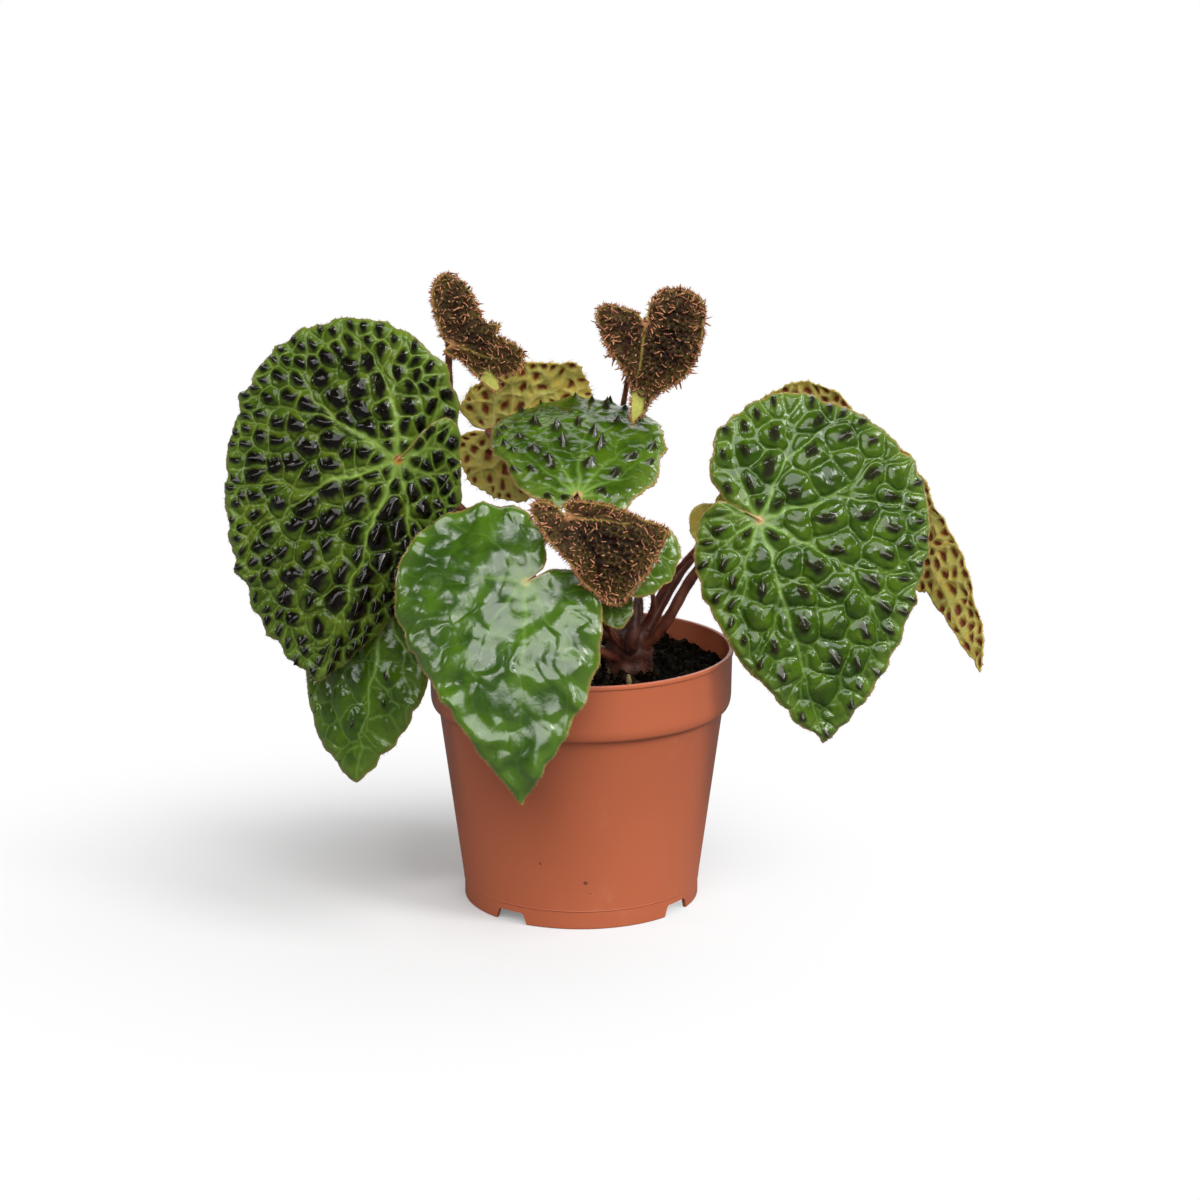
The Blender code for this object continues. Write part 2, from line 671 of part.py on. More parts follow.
def build():
    clear_scene()
    materials = {name: make_material(name) for name in MATERIALS}
    plant = bpy.data.objects.new("begonia", None)
    plant.location = POT_AXIS
    bpy.context.collection.objects.link(plant)

    make_pot(materials["pot_plastic"], plant)
    soil = make_soil(materials["soil"], plant)
    rhizome = add_mesh("rhizome", make_rhizome_body(), materials["bark"], plant)
    rhizome_tree = tree_of(rhizome)
    soil_tree = tree_of(soil)

    for leaf in LEAVES:
        make_blade(leaf, materials[leaf.colour], plant)
        make_petiole(leaf, rhizome_tree, materials["stem_red"], plant)
    for name in STIPULES:
        make_stipule(name, rhizome_tree, materials["bark"], plant)
    for name in SOIL_BITS:
        make_soil_bit(name, soil_tree, materials["perlite"], plant)


build()
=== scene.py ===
import math
from dataclasses import dataclass

import bpy
import numpy as np
from mathutils import Matrix, Vector, kdtree, noise
from mathutils.geometry import delaunay_2d_cdt


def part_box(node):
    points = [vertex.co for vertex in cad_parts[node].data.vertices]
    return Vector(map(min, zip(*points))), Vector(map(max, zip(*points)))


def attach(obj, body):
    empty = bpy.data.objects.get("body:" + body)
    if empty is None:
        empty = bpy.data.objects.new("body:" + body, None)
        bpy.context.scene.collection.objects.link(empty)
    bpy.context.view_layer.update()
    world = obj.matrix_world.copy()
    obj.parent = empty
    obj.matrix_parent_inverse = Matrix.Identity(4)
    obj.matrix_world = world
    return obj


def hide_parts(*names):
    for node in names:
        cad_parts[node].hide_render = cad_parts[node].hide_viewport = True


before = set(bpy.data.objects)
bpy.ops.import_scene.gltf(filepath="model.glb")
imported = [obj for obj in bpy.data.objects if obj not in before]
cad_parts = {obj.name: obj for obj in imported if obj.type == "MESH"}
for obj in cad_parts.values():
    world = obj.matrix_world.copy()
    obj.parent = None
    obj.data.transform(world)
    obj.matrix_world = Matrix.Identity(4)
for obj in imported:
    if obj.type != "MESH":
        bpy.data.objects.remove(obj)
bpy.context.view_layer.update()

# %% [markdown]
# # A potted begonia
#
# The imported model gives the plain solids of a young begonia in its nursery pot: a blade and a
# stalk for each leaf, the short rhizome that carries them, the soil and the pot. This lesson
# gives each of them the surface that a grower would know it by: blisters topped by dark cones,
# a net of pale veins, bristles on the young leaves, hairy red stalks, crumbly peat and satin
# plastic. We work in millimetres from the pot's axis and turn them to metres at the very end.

MM = 0.001
POT_LOW, POT_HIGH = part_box("pot")
AXIS = Vector(((POT_LOW.x + POT_HIGH.x) / 2, (POT_LOW.y + POT_HIGH.y) / 2, 0))
POT_HEIGHT = POT_HIGH.z / MM
RIM_RADIUS = (POT_HIGH.x - POT_LOW.x) / 2 / MM
print(f"pot {2 * RIM_RADIUS:.1f} mm across its rim and {POT_HEIGHT:.1f} mm high")

# %% [markdown]
# ## Shader maths
#
# A finish is a small network of nodes, and most of them only add or multiply numbers. Writing
# that as Python expressions keeps it readable: this class holds one output socket, and each
# operator on it adds the Math node that does the same. Colours can't go through Math nodes,
# because those make them grey, so they are blended by a Mix node instead.

# %% A socket that understands +, * and >
class Amount:
    """One number that varies over a surface."""

    def __init__(self, finish, socket):
        self.finish = finish
        self.socket = socket

    def maths(self, operation, first, second):
        return self.finish.node("ShaderNodeMath", {"operation": operation}, {0: first, 1: second})

    def __add__(self, other):
        return self.maths("ADD", self, other)

    def __mul__(self, other):
        return self.maths("MULTIPLY", self, other)

    def __gt__(self, other):
        return self.maths("GREATER_THAN", self, other)

    __radd__ = __add__
    __rmul__ = __mul__


# %% [markdown]
# A finish starts from the Principled shader. Every other node comes from one method, which sets
# the node's own settings before it fills the sockets, since some settings change which sockets
# there are. The short helpers below it are the few nodes that this plant needs again and again.

# %% A finish and its nodes
class Finish:
    """A material, with short ways to add its nodes."""

    def __init__(self, name, **constants):
        self.material = bpy.data.materials.new(name)
        self.material.use_nodes = True
        self.tree = self.material.node_tree
        self.shader = self.tree.nodes["Principled BSDF"]
        for socket, value in constants.items():
            self.shader.inputs[socket.replace("_", " ")].default_value = value

    def node(self, kind, settings, inputs, output=0):
        node = self.tree.nodes.new(kind)
        for name, value in settings.items():
            setattr(node, name, value)
        for name, value in inputs.items():
            self.plug(value, node.inputs[name])
        return Amount(self, node.outputs[output])

    def plug(self, value, socket):
        if isinstance(value, Amount):
            self.tree.links.new(value.socket, socket)
        elif isinstance(value, tuple) and len(value) == 3 and socket.type == "RGBA":
            socket.default_value = (*value, 1)
        else:
            socket.default_value = value

    def mask(self, name):
        """A number that the mesh carries at each of its points."""
        return self.node("ShaderNodeAttribute", {"attribute_name": name}, {}, output="Fac")

    def place(self):
        return self.node("ShaderNodeTexCoord", {}, {}, output="Object")

    def speckle(self, scale, detail=2.0, roughness=0.5):
        """Soft noise between 0 and 1; scale is in patches per metre."""
        inputs = {"Vector": self.place(), "Scale": scale, "Detail": detail, "Roughness": roughness}
        return self.node("ShaderNodeTexNoise", {}, inputs, output="Fac")

    def step(self, value, low, high):
        """0 below low, 1 above high and a smooth change between."""
        inputs = {"Value": value, "From Min": low, "From Max": high}
        return self.node("ShaderNodeMapRange", {"interpolation_type": "SMOOTHSTEP"}, inputs)

    def blend(self, share, first, second):
        """The first colour where share is 0, the second where it is 1."""
        settings = {"data_type": "RGBA"}
        return self.node("ShaderNodeMix", settings, {0: share, 6: first, 7: second}, output=2)

    def shine(self, colour, roughness, bump=None, bump_depth=0.0002):
        self.plug(colour, self.shader.inputs["Base Color"])
        self.plug(roughness, self.shader.inputs["Roughness"])
        if bump is not None:
            inputs = {"Height": bump, "Distance": bump_depth}
            normal = self.node("ShaderNodeBump", {}, inputs)
            self.plug(normal, self.shader.inputs["Normal"])
        return self.material


# %% [markdown]
# ## The leaf plan
#
# Each leaf is described as a gardener might pin it to a board: how long it is from the stalk to
# the tip, how wide its two unequal halves are, which way it faces and how it droops and folds.
# These are the same numbers as in the solid model, so the fine leaves land where
# the plain blades are. To them we add how the skin looks: the distance between blisters, how
# far they puff up, how tall their cones are, and how dark and how bristly the leaf is.

# %% Outlines of the blades
# An outline is (degrees from the midrib, reach as a share of the midrib's length).
OUTLINES = {
    "leaf": (
        ((0, 1), (17, 0.95), (36, 0.87), (57, 0.79), (77, 0.735), (117, 0.675), (154, 0.58),
         (175, 0.495), (193, 0.4), (208, 0.3), (224, 0.16)),
        ((0, 1), (5, 0.92), (14, 0.79), (25, 0.67), (39, 0.55), (57, 0.44), (84, 0.34),
         (112, 0.26), (133, 0.16)),
    ),
    "closed": (
        ((0, 1), (17, 0.94), (36, 0.85), (57, 0.775), (77, 0.745), (100, 0.72), (117, 0.69),
         (154, 0.57), (175, 0.465), (193, 0.355), (208, 0.25), (220, 0.14)),
        ((0, 1), (5, 0.92), (14, 0.79), (25, 0.67), (39, 0.55), (57, 0.44), (84, 0.35),
         (105, 0.3), (120, 0.28), (130, 0.24), (134, 0.16)),
    ),
    "heart": (
        ((0, 1), (4, 0.9), (9, 0.82), (14, 0.72), (23, 0.68), (60, 0.63), (92, 0.59), (112, 0.63),
         (131, 0.58), (146, 0.45), (163, 0.33), (176, 0.18)),
        ((0, 1), (2, 0.75), (8, 0.58), (22, 0.49), (43, 0.45), (74, 0.44), (98, 0.49), (108, 0.42),
         (118, 0.24), (134, 0.1)),
    ),
    "furled": (
        ((0, 1), (10, 0.95), (18, 0.84), (26, 0.62), (33, 0.62), (40, 0.68), (47, 0.55), (54, 0.51),
         (64, 0.56), (83, 0.72), (97, 0.84), (108, 0.92), (116, 0.88), (126, 0.7), (134, 0.43),
         (145, 0.2), (165, 0.12)),
        ((0, 1), (7, 0.9), (12, 0.78), (19, 0.78), (26, 0.86), (30, 0.78), (34, 0.36), (45, 0.2),
         (70, 0.15), (120, 0.12)),
    ),
    "sickle": (
        ((0, 1), (2, 0.88), (3, 0.76), (5, 0.66), (9, 0.57), (18, 0.52), (40, 0.5), (70, 0.52),
         (110, 0.52), (140, 0.5), (160, 0.47), (180, 0.42), (200, 0.34), (215, 0.23), (228, 0.12)),
        ((0, 1), (6, 0.88), (11, 0.72), (17, 0.54), (29, 0.37), (46, 0.29), (62, 0.25), (78, 0.21),
         (100, 0.18), (125, 0.13)),
    ),
    "shield": (
        ((0, 1), (8, 0.92), (18, 0.83), (27, 0.77), (40, 0.73), (53, 0.71), (77, 0.7), (117, 0.68),
         (140, 0.64), (160, 0.56), (175, 0.47), (190, 0.36), (205, 0.24), (220, 0.12)),
        ((0, 1), (5, 0.93), (14, 0.82), (25, 0.7), (39, 0.58), (57, 0.45), (84, 0.34),
         (112, 0.25), (133, 0.14)),
    ),
    "cupped": (
        ((0, 1), (18, 0.97), (38, 0.97), (54, 1), (66, 0.76), (84, 0.46), (120, 0.33),
         (153, 0.3), (185, 0.38), (200, 0.36), (215, 0.2)),
        ((0, 1), (7, 0.74), (24, 0.46), (45, 0.3), (80, 0.2), (120, 0.12)),
    ),
    "broad": (
        ((0, 1), (17, 0.93), (36, 0.86), (57, 0.82), (77, 0.79), (100, 0.72), (117, 0.66),
         (154, 0.54), (175, 0.46), (193, 0.37), (208, 0.26), (220, 0.14)),
        ((0, 1), (5, 0.92), (14, 0.79), (25, 0.67), (39, 0.55), (57, 0.44), (84, 0.34),
         (112, 0.26), (132, 0.15)),
    ),
    "fan": (
        ((0, 1), (10, 1.03), (25, 0.95), (41, 0.86), (46, 0.77), (55, 0.64), (65, 0.47),
         (87, 0.3), (103, 0.23), (140, 0.1)),
        ((0, 1), (15, 0.96), (24, 0.91), (31, 0.84), (43, 0.71), (56, 0.55), (86, 0.34),
         (107, 0.27), (150, 0.12)),
    ),
}
# Main veins leave the junction at these angles; those of the narrow half are negative.
VEIN_ANGLES = {
    "leaf": (52, 103, 155, 200, -38, -80, -116),
    "closed": (50, 101, 155, 200, -38, -80, -116),
    "heart": (40, 80, 118, 150, -38, -78, -112, -142),
    "furled": (15, 40, 72, 95, 115, -26),
    "sickle": (50, 95, 140, 185, -35, -70, -100),
    "shield": (40, 95, 150, 190, -36, -80, -116),
    "cupped": (24, 50, 95, 150, 190, -20, -60),
    "broad": (48, 92, 140, 195, -38, -80, -116),
    "fan": (28, 50, 78, -30, -58, -95),
}


# %% One leaf's numbers
@dataclass
class Leaf:
    """A leaf of the plan: lengths in millimetres, angles in degrees."""

    name: str
    junction: tuple
    length: float
    faces: tuple
    spin: float
    wide_side: int = 1
    outline: str = "leaf"
    wide: float = 1.0
    narrow: float = 1.0
    lobes: float = 1.0
    taper: float = 0.0
    droop: float = 10.0
    lobe_drop: float = 5.0
    fold_wide: float = 5.0
    fold_narrow: float = 5.0
    curl_wide: float = 15.0
    curl_narrow: float = 20.0
    finish: str = "leaf_green"
    stalk_radius: float = 1.6
    bud_height: float = 104
    route: tuple = ()
    # Distance between the points of the fine mesh.
    mesh_step: float = 0.8
    # Blisters: distance apart, height, and how soft their domes are from 0 to 1.
    cell: float = 8.0
    puff: float = 1.0
    soft: float = 0.0
    # Cones: height, radius, the share of blisters with one, and how much more the narrow half has;
    # that also widens the narrow half's dark caps, partly as painted shade.
    cone: float = 0.0
    cone_radius: float = 1.6
    coned: float = 1.0
    spiky: float = 1.0
    # Dark caps: their size, and how far they run together.
    blotch: float = 0.5
    merge: float = 0.0
    # Veins: strength of the fine net, width of the main ones, and how far those stay pale.
    net: float = 0.8
    vein_size: float = 1.0
    ribs: float = 1.0
    # Margin: teeth, scallops, slow waves, and how many degrees the two lobes swing together.
    tooth: float = 0.35
    scallop: float = 0.8
    wave: float = 0.5
    overlap: float = 0.0
    # Creases between bumps, how many there are per millimetre, and folds out from the junction.
    crumple: float = 0.8
    crumples: float = 0.24
    pleat: float = 0.0
    # Hairs on the blade and on its margin, and the smooth pale tip of a young leaf.
    bristle: float = 0.0
    edge_hair: float = 0.9
    pale_tip: float = 1.0
    tip_angle: float = 0.0
    # How high up a stalk swells into a sheath; 0 is no sheath.
    sheath: float = 0.0


# %% [markdown]
# The plan itself. `faces` says where a leaf's upper side looks: degrees round from the front
# towards the right, then upwards. `spin` turns its tip from straight down towards the right.
# The three youngest leaves share a skin of tiny blisters and bristles.

# %% The thirteen leaves
BRISTLY = {
    "finish": "leaf_brown", "mesh_step": 0.6, "cell": 1.8, "puff": 0.8, "blotch": 0.8,
    "net": 0.1, "edge_hair": 1.6,
}
LEAVES = (
    Leaf(
        "left_large", (-68, -36, 183), 94, (-8, 10), -21, wide_side=-1, outline="closed",
        wide=1.02, narrow=0.97, lobes=0.95, droop=20, lobe_drop=8, fold_wide=4, fold_narrow=35,
        curl_wide=14, curl_narrow=30, finish="leaf_dark", stalk_radius=2.2, bud_height=104,
        route=((-24, 2, 132), (-54, 0, 164)),
        mesh_step=0.6, cell=7.4, puff=2.1, cone=2.6, cone_radius=2.5, blotch=1.05, net=0.6,
        scallop=2.4, overlap=26, spiky=1.8, merge=1.0, vein_size=1.6,
    ),
    Leaf(
        "left_low", (-75, -20, 122), 70, (-5, 14), -10, wide_side=-1, wide=0.88, narrow=0.85,
        droop=15, fold_wide=30, fold_narrow=5, curl_wide=20, curl_narrow=10,
        stalk_radius=1.9, bud_height=98, route=((-20, 2, 110), (-58, 8, 116)),
        cell=10, puff=1.0, soft=0.7, cone=1.6, cone_radius=1.1, coned=0.35, blotch=0.3, net=0.3,
    ),
    Leaf(
        "front", (-20, -62, 142), 85, (-4, 36), 0, wide_side=-1, outline="shield", wide=0.87,
        narrow=0.96, taper=0.45, lobes=0.75, droop=38, lobe_drop=28, fold_wide=5, fold_narrow=5,
        curl_wide=14, curl_narrow=16, finish="leaf_bright", stalk_radius=2.0, bud_height=98,
        route=((-2, -28, 110), (-14, -46, 122)),
        mesh_step=0.75, cell=12, puff=0.5, soft=0.9, blotch=0, net=0.04, wave=1.6, crumple=1.7,
        crumples=0.06, pleat=1.6, ribs=0.2,
    ),
    Leaf(
        "top", (-1, -30, 168), 67, (0, 46), 176, outline="fan", droop=42,
        lobe_drop=15, fold_wide=0, fold_narrow=0, curl_wide=25, curl_narrow=25,
        stalk_radius=1.8, bud_height=107, route=((10, -10, 130), (1, -16, 150)),
        mesh_step=0.75, cell=9, puff=0.7, soft=1.0, cone=3.4, cone_radius=2.5, coned=0.7,
        blotch=0.75, net=0.05, tooth=0.6, crumple=1.2, crumples=0.17, pleat=1.6, ribs=0.35,
    ),
    Leaf(
        "bristly_front", (-4, -63, 167), 37, (5, 30), 82, wide_side=-1, outline="cupped",
        fold_wide=5, fold_narrow=15, curl_wide=15, stalk_radius=1.3,
        bud_height=104, route=((6, -30, 122), (5, -48, 142)), bristle=2.5, **BRISTLY,
    ),
    Leaf(
        "pleated", (22.5, -38, 151), 24, (10, 30), -42, fold_wide=0, fold_narrow=0,
        stalk_radius=1.0, bud_height=108, route=((28, -20, 124),),
        mesh_step=0.6, cell=5, puff=0.5, soft=1.0, blotch=0, net=0.2, pleat=1.6,
    ),
    Leaf(
        "olive", (11, -40, 130), 12.5, (0, 30), 5, fold_wide=0, fold_narrow=0,
        stalk_radius=0.8, bud_height=101, route=((11, -26, 114),),
        mesh_step=0.7, cell=5, puff=0.2, soft=1.0, blotch=0, net=0.2,
    ),
    Leaf(
        "right_large", (68, -28, 158), 91, (4, 18), 16, outline="broad", wide=0.99, narrow=0.88,
        taper=0.3, droop=22, lobe_drop=8, fold_wide=2, fold_narrow=5, curl_wide=15, curl_narrow=20,
        stalk_radius=2.3, bud_height=101, route=((33, -13, 114), (46, -14, 136)),
        mesh_step=0.62, cell=10.5, puff=2.4, cone=2.8, cone_radius=2.8, coned=0.8, blotch=0.72,
        net=0.3, scallop=1.6, overlap=4, crumple=1.1, crumples=0.17, vein_size=1.1,
    ),
    Leaf(
        "back_right", (112, 44, 165), 102, (155, 6), -42, outline="sickle", narrow=0.95,
        droop=44, lobe_drop=0, fold_wide=-10, fold_narrow=5, curl_wide=20, curl_narrow=30,
        finish="leaf_olive", stalk_radius=2.2, bud_height=104, route=((46, 8, 138), (84, 24, 160)),
        mesh_step=0.85, cell=6.6, puff=1.8, cone=1.2, cone_radius=1.3, blotch=1.0, tooth=0.8,
        scallop=1.6, crumple=0.5,
    ),
    Leaf(
        "back_left", (-36, 40, 179), 46, (180, 5), -127, wide=0.95, narrow=1.25, lobes=0.8,
        droop=5, finish="leaf_olive", stalk_radius=1.6, bud_height=103,
        route=((4, 14, 128), (-20, 26, 160)),
        mesh_step=0.75, cell=6.2, puff=0.9, cone=0.8, cone_radius=1.1, blotch=0.8, tooth=0.9,
        edge_hair=2.6, crumple=0.5,
    ),
    Leaf(
        "bristly_left", (-50, 0, 221), 30, (10, 10), 71, outline="furled", fold_narrow=0,
        curl_wide=5, curl_narrow=10, stalk_radius=1.7, bud_height=108,
        route=((-10, 9, 120), (-42, 14, 140), (-52, 12, 162), (-51, 8, 190)),
        bristle=2.5, pale_tip=0.5, tip_angle=-27, sheath=188, **BRISTLY,
    ),
    Leaf(
        "bristly_heart", (25, 5, 228.5), 40, (5, 15), -9, outline="heart", fold_wide=10,
        fold_narrow=10, curl_wide=10, curl_narrow=10, stalk_radius=1.3,
        bud_height=110, route=((16, 14, 130), (14, 35, 165), (18, 27, 200)),
        bristle=2.8, pale_tip=0.62, **BRISTLY,
    ),
    Leaf(
        "behind_right", (55, -2, 156), 25, (180, 10), -92, fold_wide=0, fold_narrow=0,
        finish="leaf_olive", stalk_radius=1.1, bud_height=108,
        route=((34, -2, 128), (50, -10, 148)),
        mesh_step=0.8, cell=6, puff=0.3, soft=1.0, blotch=0, net=0.3,
    ),
)
print(len(LEAVES), "leaves, the longest", max(leaf.length for leaf in LEAVES), "mm")

# %% [markdown]
# ## Cutting the blade flat
#
# A begonia leaf is lopsided, so its margin is two curves that meet at the tip, one for each half.
# A smooth curve through a few (angle, reach) points gives each half, and small teeth run all
# the way round. We cut the blade flat first, because veins and blisters are easier to lay out on
# a flat sheet, and bend it afterwards.

# %% The margin
MARGIN_SAMPLES = 500
TOOTH_PITCH = 3.2
SCALLOP_PITCH = 6.5


def smooth(value, low, high):
    """0 below low, 1 above high and a smooth change between."""
    t = np.clip((value - low) / (high - low), 0, 1)
    return t * t * (3 - 2 * t)


def reach(table, angles):
    """Reach at each angle, by a smooth curve through the outline's points."""
    knots, reaches = np.array(table, float).T
    before = np.maximum(np.arange(len(knots)) - 1, 0)
    after = np.minimum(np.arange(len(knots)) + 1, len(knots) - 1)
    slopes = (reaches[after] - reaches[before]) / (knots[after] - knots[before])
    i = np.clip(np.searchsorted(knots, angles, side="right") - 1, 0, len(knots) - 2)
    width = knots[i + 1] - knots[i]
    t = (angles - knots[i]) / width
    return (
        (2 * t**3 - 3 * t**2 + 1) * reaches[i]
        + (t**3 - 2 * t**2 + t) * width * slopes[i]
        + (3 * t**2 - 2 * t**3) * reaches[i + 1]
        + (t**3 - t**2) * width * slopes[i + 1]
    )


def flat_point(leaf, angles, share=1.0):
    """Flat places in mm at a share of the reach; negative angles are in the narrow half."""
    wide_table, narrow_table = OUTLINES[leaf.outline]
    angles = np.asarray(angles, float)
    wide_reach = reach(wide_table, np.clip(angles, 0, wide_table[-1][0]))
    narrow_reach = reach(narrow_table, np.clip(-angles, 0, narrow_table[-1][0]))
    far = np.where(angles >= 0, wide_reach, narrow_reach) * share
    x = far * np.cos(np.radians(angles))
    y = far * np.sin(np.radians(angles)) * np.where(angles >= 0, leaf.wide, leaf.narrow)
    y = y * (1 - leaf.taper * np.maximum(x, 0) ** 1.5)
    x = np.where(x > 0, x, x * leaf.lobes)
    return np.stack([x, y], axis=-1) * leaf.length


def along(points, spacing):
    """The same line with its points evenly spaced."""
    steps = np.linalg.norm(np.diff(points, axis=0), axis=1)
    travelled = np.concatenate([[0], np.cumsum(steps)])
    count = max(int(travelled[-1] / spacing), 2)
    marks = np.linspace(0, travelled[-1], count + 1)
    return np.stack([np.interp(marks, travelled, axis) for axis in points.T], axis=-1)


def margin(leaf, spacing, toothed=True):
    """The flat margin as a ring of points, from lobe round the tip to lobe and the junction."""
    wide_table, narrow_table = OUTLINES[leaf.outline]
    angles = np.linspace(-narrow_table[-1][0], wide_table[-1][0], MARGIN_SAMPLES)
    line = along(flat_point(leaf, angles), spacing)
    run = np.arange(len(line)) * spacing
    far = np.linalg.norm(line, axis=1)
    scallops = [noise.noise(Vector((r / SCALLOP_PITCH, leaf.length, 0))) for r in run]
    bulge = leaf.scallop * np.array(scallops) * smooth(far, 4, 14)
    if toothed:
        bulge = bulge + leaf.tooth * ((run / TOOTH_PITCH % 1) ** 2 - 0.4)
    line = line * (1 + bulge / far)[:, None]
    return np.concatenate([line, [[0.0, 0.0]]])


# %% [markdown]
# Two measures decide most of the surface: how far a point is from the nearest vein, and how far
# from the margin. Both are distances to a set of short straight pieces, worked out for all
# points at once.

# %% Distance to a set of lines
CHUNK = 4000


def distance_to_lines(points, starts, ends):
    """For each point: distance to the nearest piece, which piece it is and where along it."""
    span = ends - starts
    length2 = np.maximum((span**2).sum(axis=1), 1e-9)
    found, piece, share = [], [], []
    for low in range(0, len(points), CHUNK):
        part = points[low : low + CHUNK, None]
        t = np.clip(((part - starts) * span).sum(axis=2) / length2, 0, 1)
        gap = np.linalg.norm(part - (starts + t[..., None] * span), axis=2)
        nearest = gap.argmin(axis=1)
        rows = np.arange(len(nearest))
        found.append(gap[rows, nearest])
        piece.append(nearest)
        share.append(t[rows, nearest])
    return np.concatenate(found), np.concatenate(piece), np.concatenate(share)


def inside(points, ring):
    """True for the points inside a closed ring."""
    x, y = points[:, :1], points[:, 1:]
    x0, y0 = ring.T
    x1, y1 = np.roll(ring, -1, axis=0).T
    rising = (y0 > y) != (y1 > y)
    level = np.where(y1 == y0, 1e-9, y1 - y0)
    crossing = rising & (x < x0 + (x1 - x0) * (y - y0) / level)
    return crossing.sum(axis=1) % 2 == 1


# %% [markdown]
# ## Veins
#
# The main veins fan out from the junction. Each forks about halfway to the margin, and the
# midrib sends out side veins instead. A vein is a line of points with a width that shrinks
# towards its end.

# %% Laying out the veins
VEIN_POINTS = 12
WANDER = 2.4
SWAY_PITCH = 9
FORK_AT = 0.46
FORK_SPREAD = 12
VEIN_REACH = 0.97
SIDE_VEINS = (0.22, 0.38, 0.53, 0.67, 0.8)
SIDE_VEIN_ANGLE = 46


def vein_width(share, thick=1.1):
    """Veins thin out quickly from the junction to the margin."""
    return thick * (1 - share) ** 1.6 + 0.1


def wander(line, seed):
    """Bends a line a little to and fro, more so away from the junction."""
    aside = [noise.noise(Vector((x / SWAY_PITCH, y / SWAY_PITCH, seed))) for x, y in line]
    ahead = [noise.noise(Vector((y / SWAY_PITCH, x / SWAY_PITCH, seed))) for x, y in line]
    sway = np.stack([aside, ahead], axis=1)
    return line + WANDER * sway * smooth(np.linalg.norm(line, axis=1), 0, 25)[:, None]


def vein_line(leaf, angle, first, last, spread):
    """One stretch of a vein between two shares of its reach, turning away by spread degrees."""
    share = np.linspace(first, last, VEIN_POINTS)
    turn = spread * ((share - first) / (last - first)) ** 0.8
    line = flat_point(leaf, angle * (1 - 0.05 * share**2) + turn, share * VEIN_REACH)
    return wander(line, leaf.length), share


def veins(leaf):
    """Every vein of a leaf as (points, width at each point)."""
    found = []
    for angle in VEIN_ANGLES[leaf.outline]:
        line, share = vein_line(leaf, angle, 0, FORK_AT, 0)
        found.append((line, vein_width(share)))
        for side in (-1, 1):
            line, share = vein_line(leaf, angle, FORK_AT, 1, side * FORK_SPREAD)
            found.append((line, vein_width(share, 0.9)))
    share = np.linspace(0, 1, VEIN_POINTS)
    midrib = wander(share[:, None] * (leaf.length * VEIN_REACH, 0), leaf.length)
    found.append((midrib, vein_width(share, 1.2)))
    for number, place in enumerate(SIDE_VEINS):
        aim = math.radians(-SIDE_VEIN_ANGLE if number % 2 else SIDE_VEIN_ANGLE)
        length = leaf.length * 0.32 * (1.1 - place)
        way = np.array([math.cos(aim), math.sin(aim)])
        line = wander((place * leaf.length, 0) + share[:, None] * length * way, leaf.length)
        found.append((line, vein_width(share, 0.4 * (1 - place))))
    return found


def vein_pieces(leaf):
    """The veins cut into straight pieces: starts, ends, and the width at each end."""
    starts, ends, wide0, wide1 = [], [], [], []
    for line, width in veins(leaf):
        starts.append(line[:-1])
        ends.append(line[1:])
        wide0.append(width[:-1])
        wide1.append(width[1:])
    return tuple(np.concatenate(part) for part in (starts, ends, wide0, wide1))


# %% [markdown]
# ## Blisters
#
# Between the veins the blade puffs up into blisters, each with a cone on top. They are spread
# like raindrops that keep their distance: candidates are thrown at random, from a fixed seed so
# that the leaf is the same each time, and one is kept only if it lies clear of the veins, the
# margin and the blisters already there. They stand closer together near the margin, and their
# spacing drifts from patch to patch.

# %% Spreading the blisters
CANDIDATES = 9000
MARGIN_CROWDING = 0.58


def crowding(leaf, points, edge_gap, seed):
    """Blister spacing at flat points: it drifts from patch to patch and shrinks at the margin."""
    uneven = np.array([noise.noise(Vector((0.07 * x, 0.07 * y, seed + 40))) for x, y in points])
    inner = smooth(edge_gap, 3, 0.22 * leaf.length) * (1 + 0.7 * uneven)
    return leaf.cell * (MARGIN_CROWDING + (1 - MARGIN_CROWDING) * np.clip(inner, 0, 1.5))


def spread_blisters(leaf, ring, seed):
    rng = np.random.default_rng(seed)
    low, high = ring.min(axis=0), ring.max(axis=0)
    throws = rng.uniform(low, high, (CANDIDATES, 2))
    throws = throws[inside(throws, ring)]
    edge_gap = distance_to_lines(throws, ring, np.roll(ring, -1, axis=0))[0]
    starts, ends, wide0, _ = vein_pieces(leaf)
    vein_gap, piece, _ = distance_to_lines(throws, starts, ends)
    spacing = crowding(leaf, throws, edge_gap, seed)
    clear = (edge_gap > 0.38 * spacing) & (vein_gap > 0.34 * spacing * (0.6 + 0.4 * wide0[piece]))
    kept = np.empty((0, 2))
    kept_spacing = np.empty(0)
    for throw, space in zip(throws[clear], spacing[clear]):
        gaps = np.linalg.norm(kept - throw, axis=1)
        if (gaps > (kept_spacing + space) / 2).all():
            kept = np.vstack([kept, throw])
            kept_spacing = np.append(kept_spacing, space)
    return kept, kept_spacing


# %% [markdown]
# The fine veins run where two blisters meet, halfway between their centres. Those lines are the
# edges of a Voronoi diagram, which joins the centres of the circles through each triangle of
# neighbouring blisters.

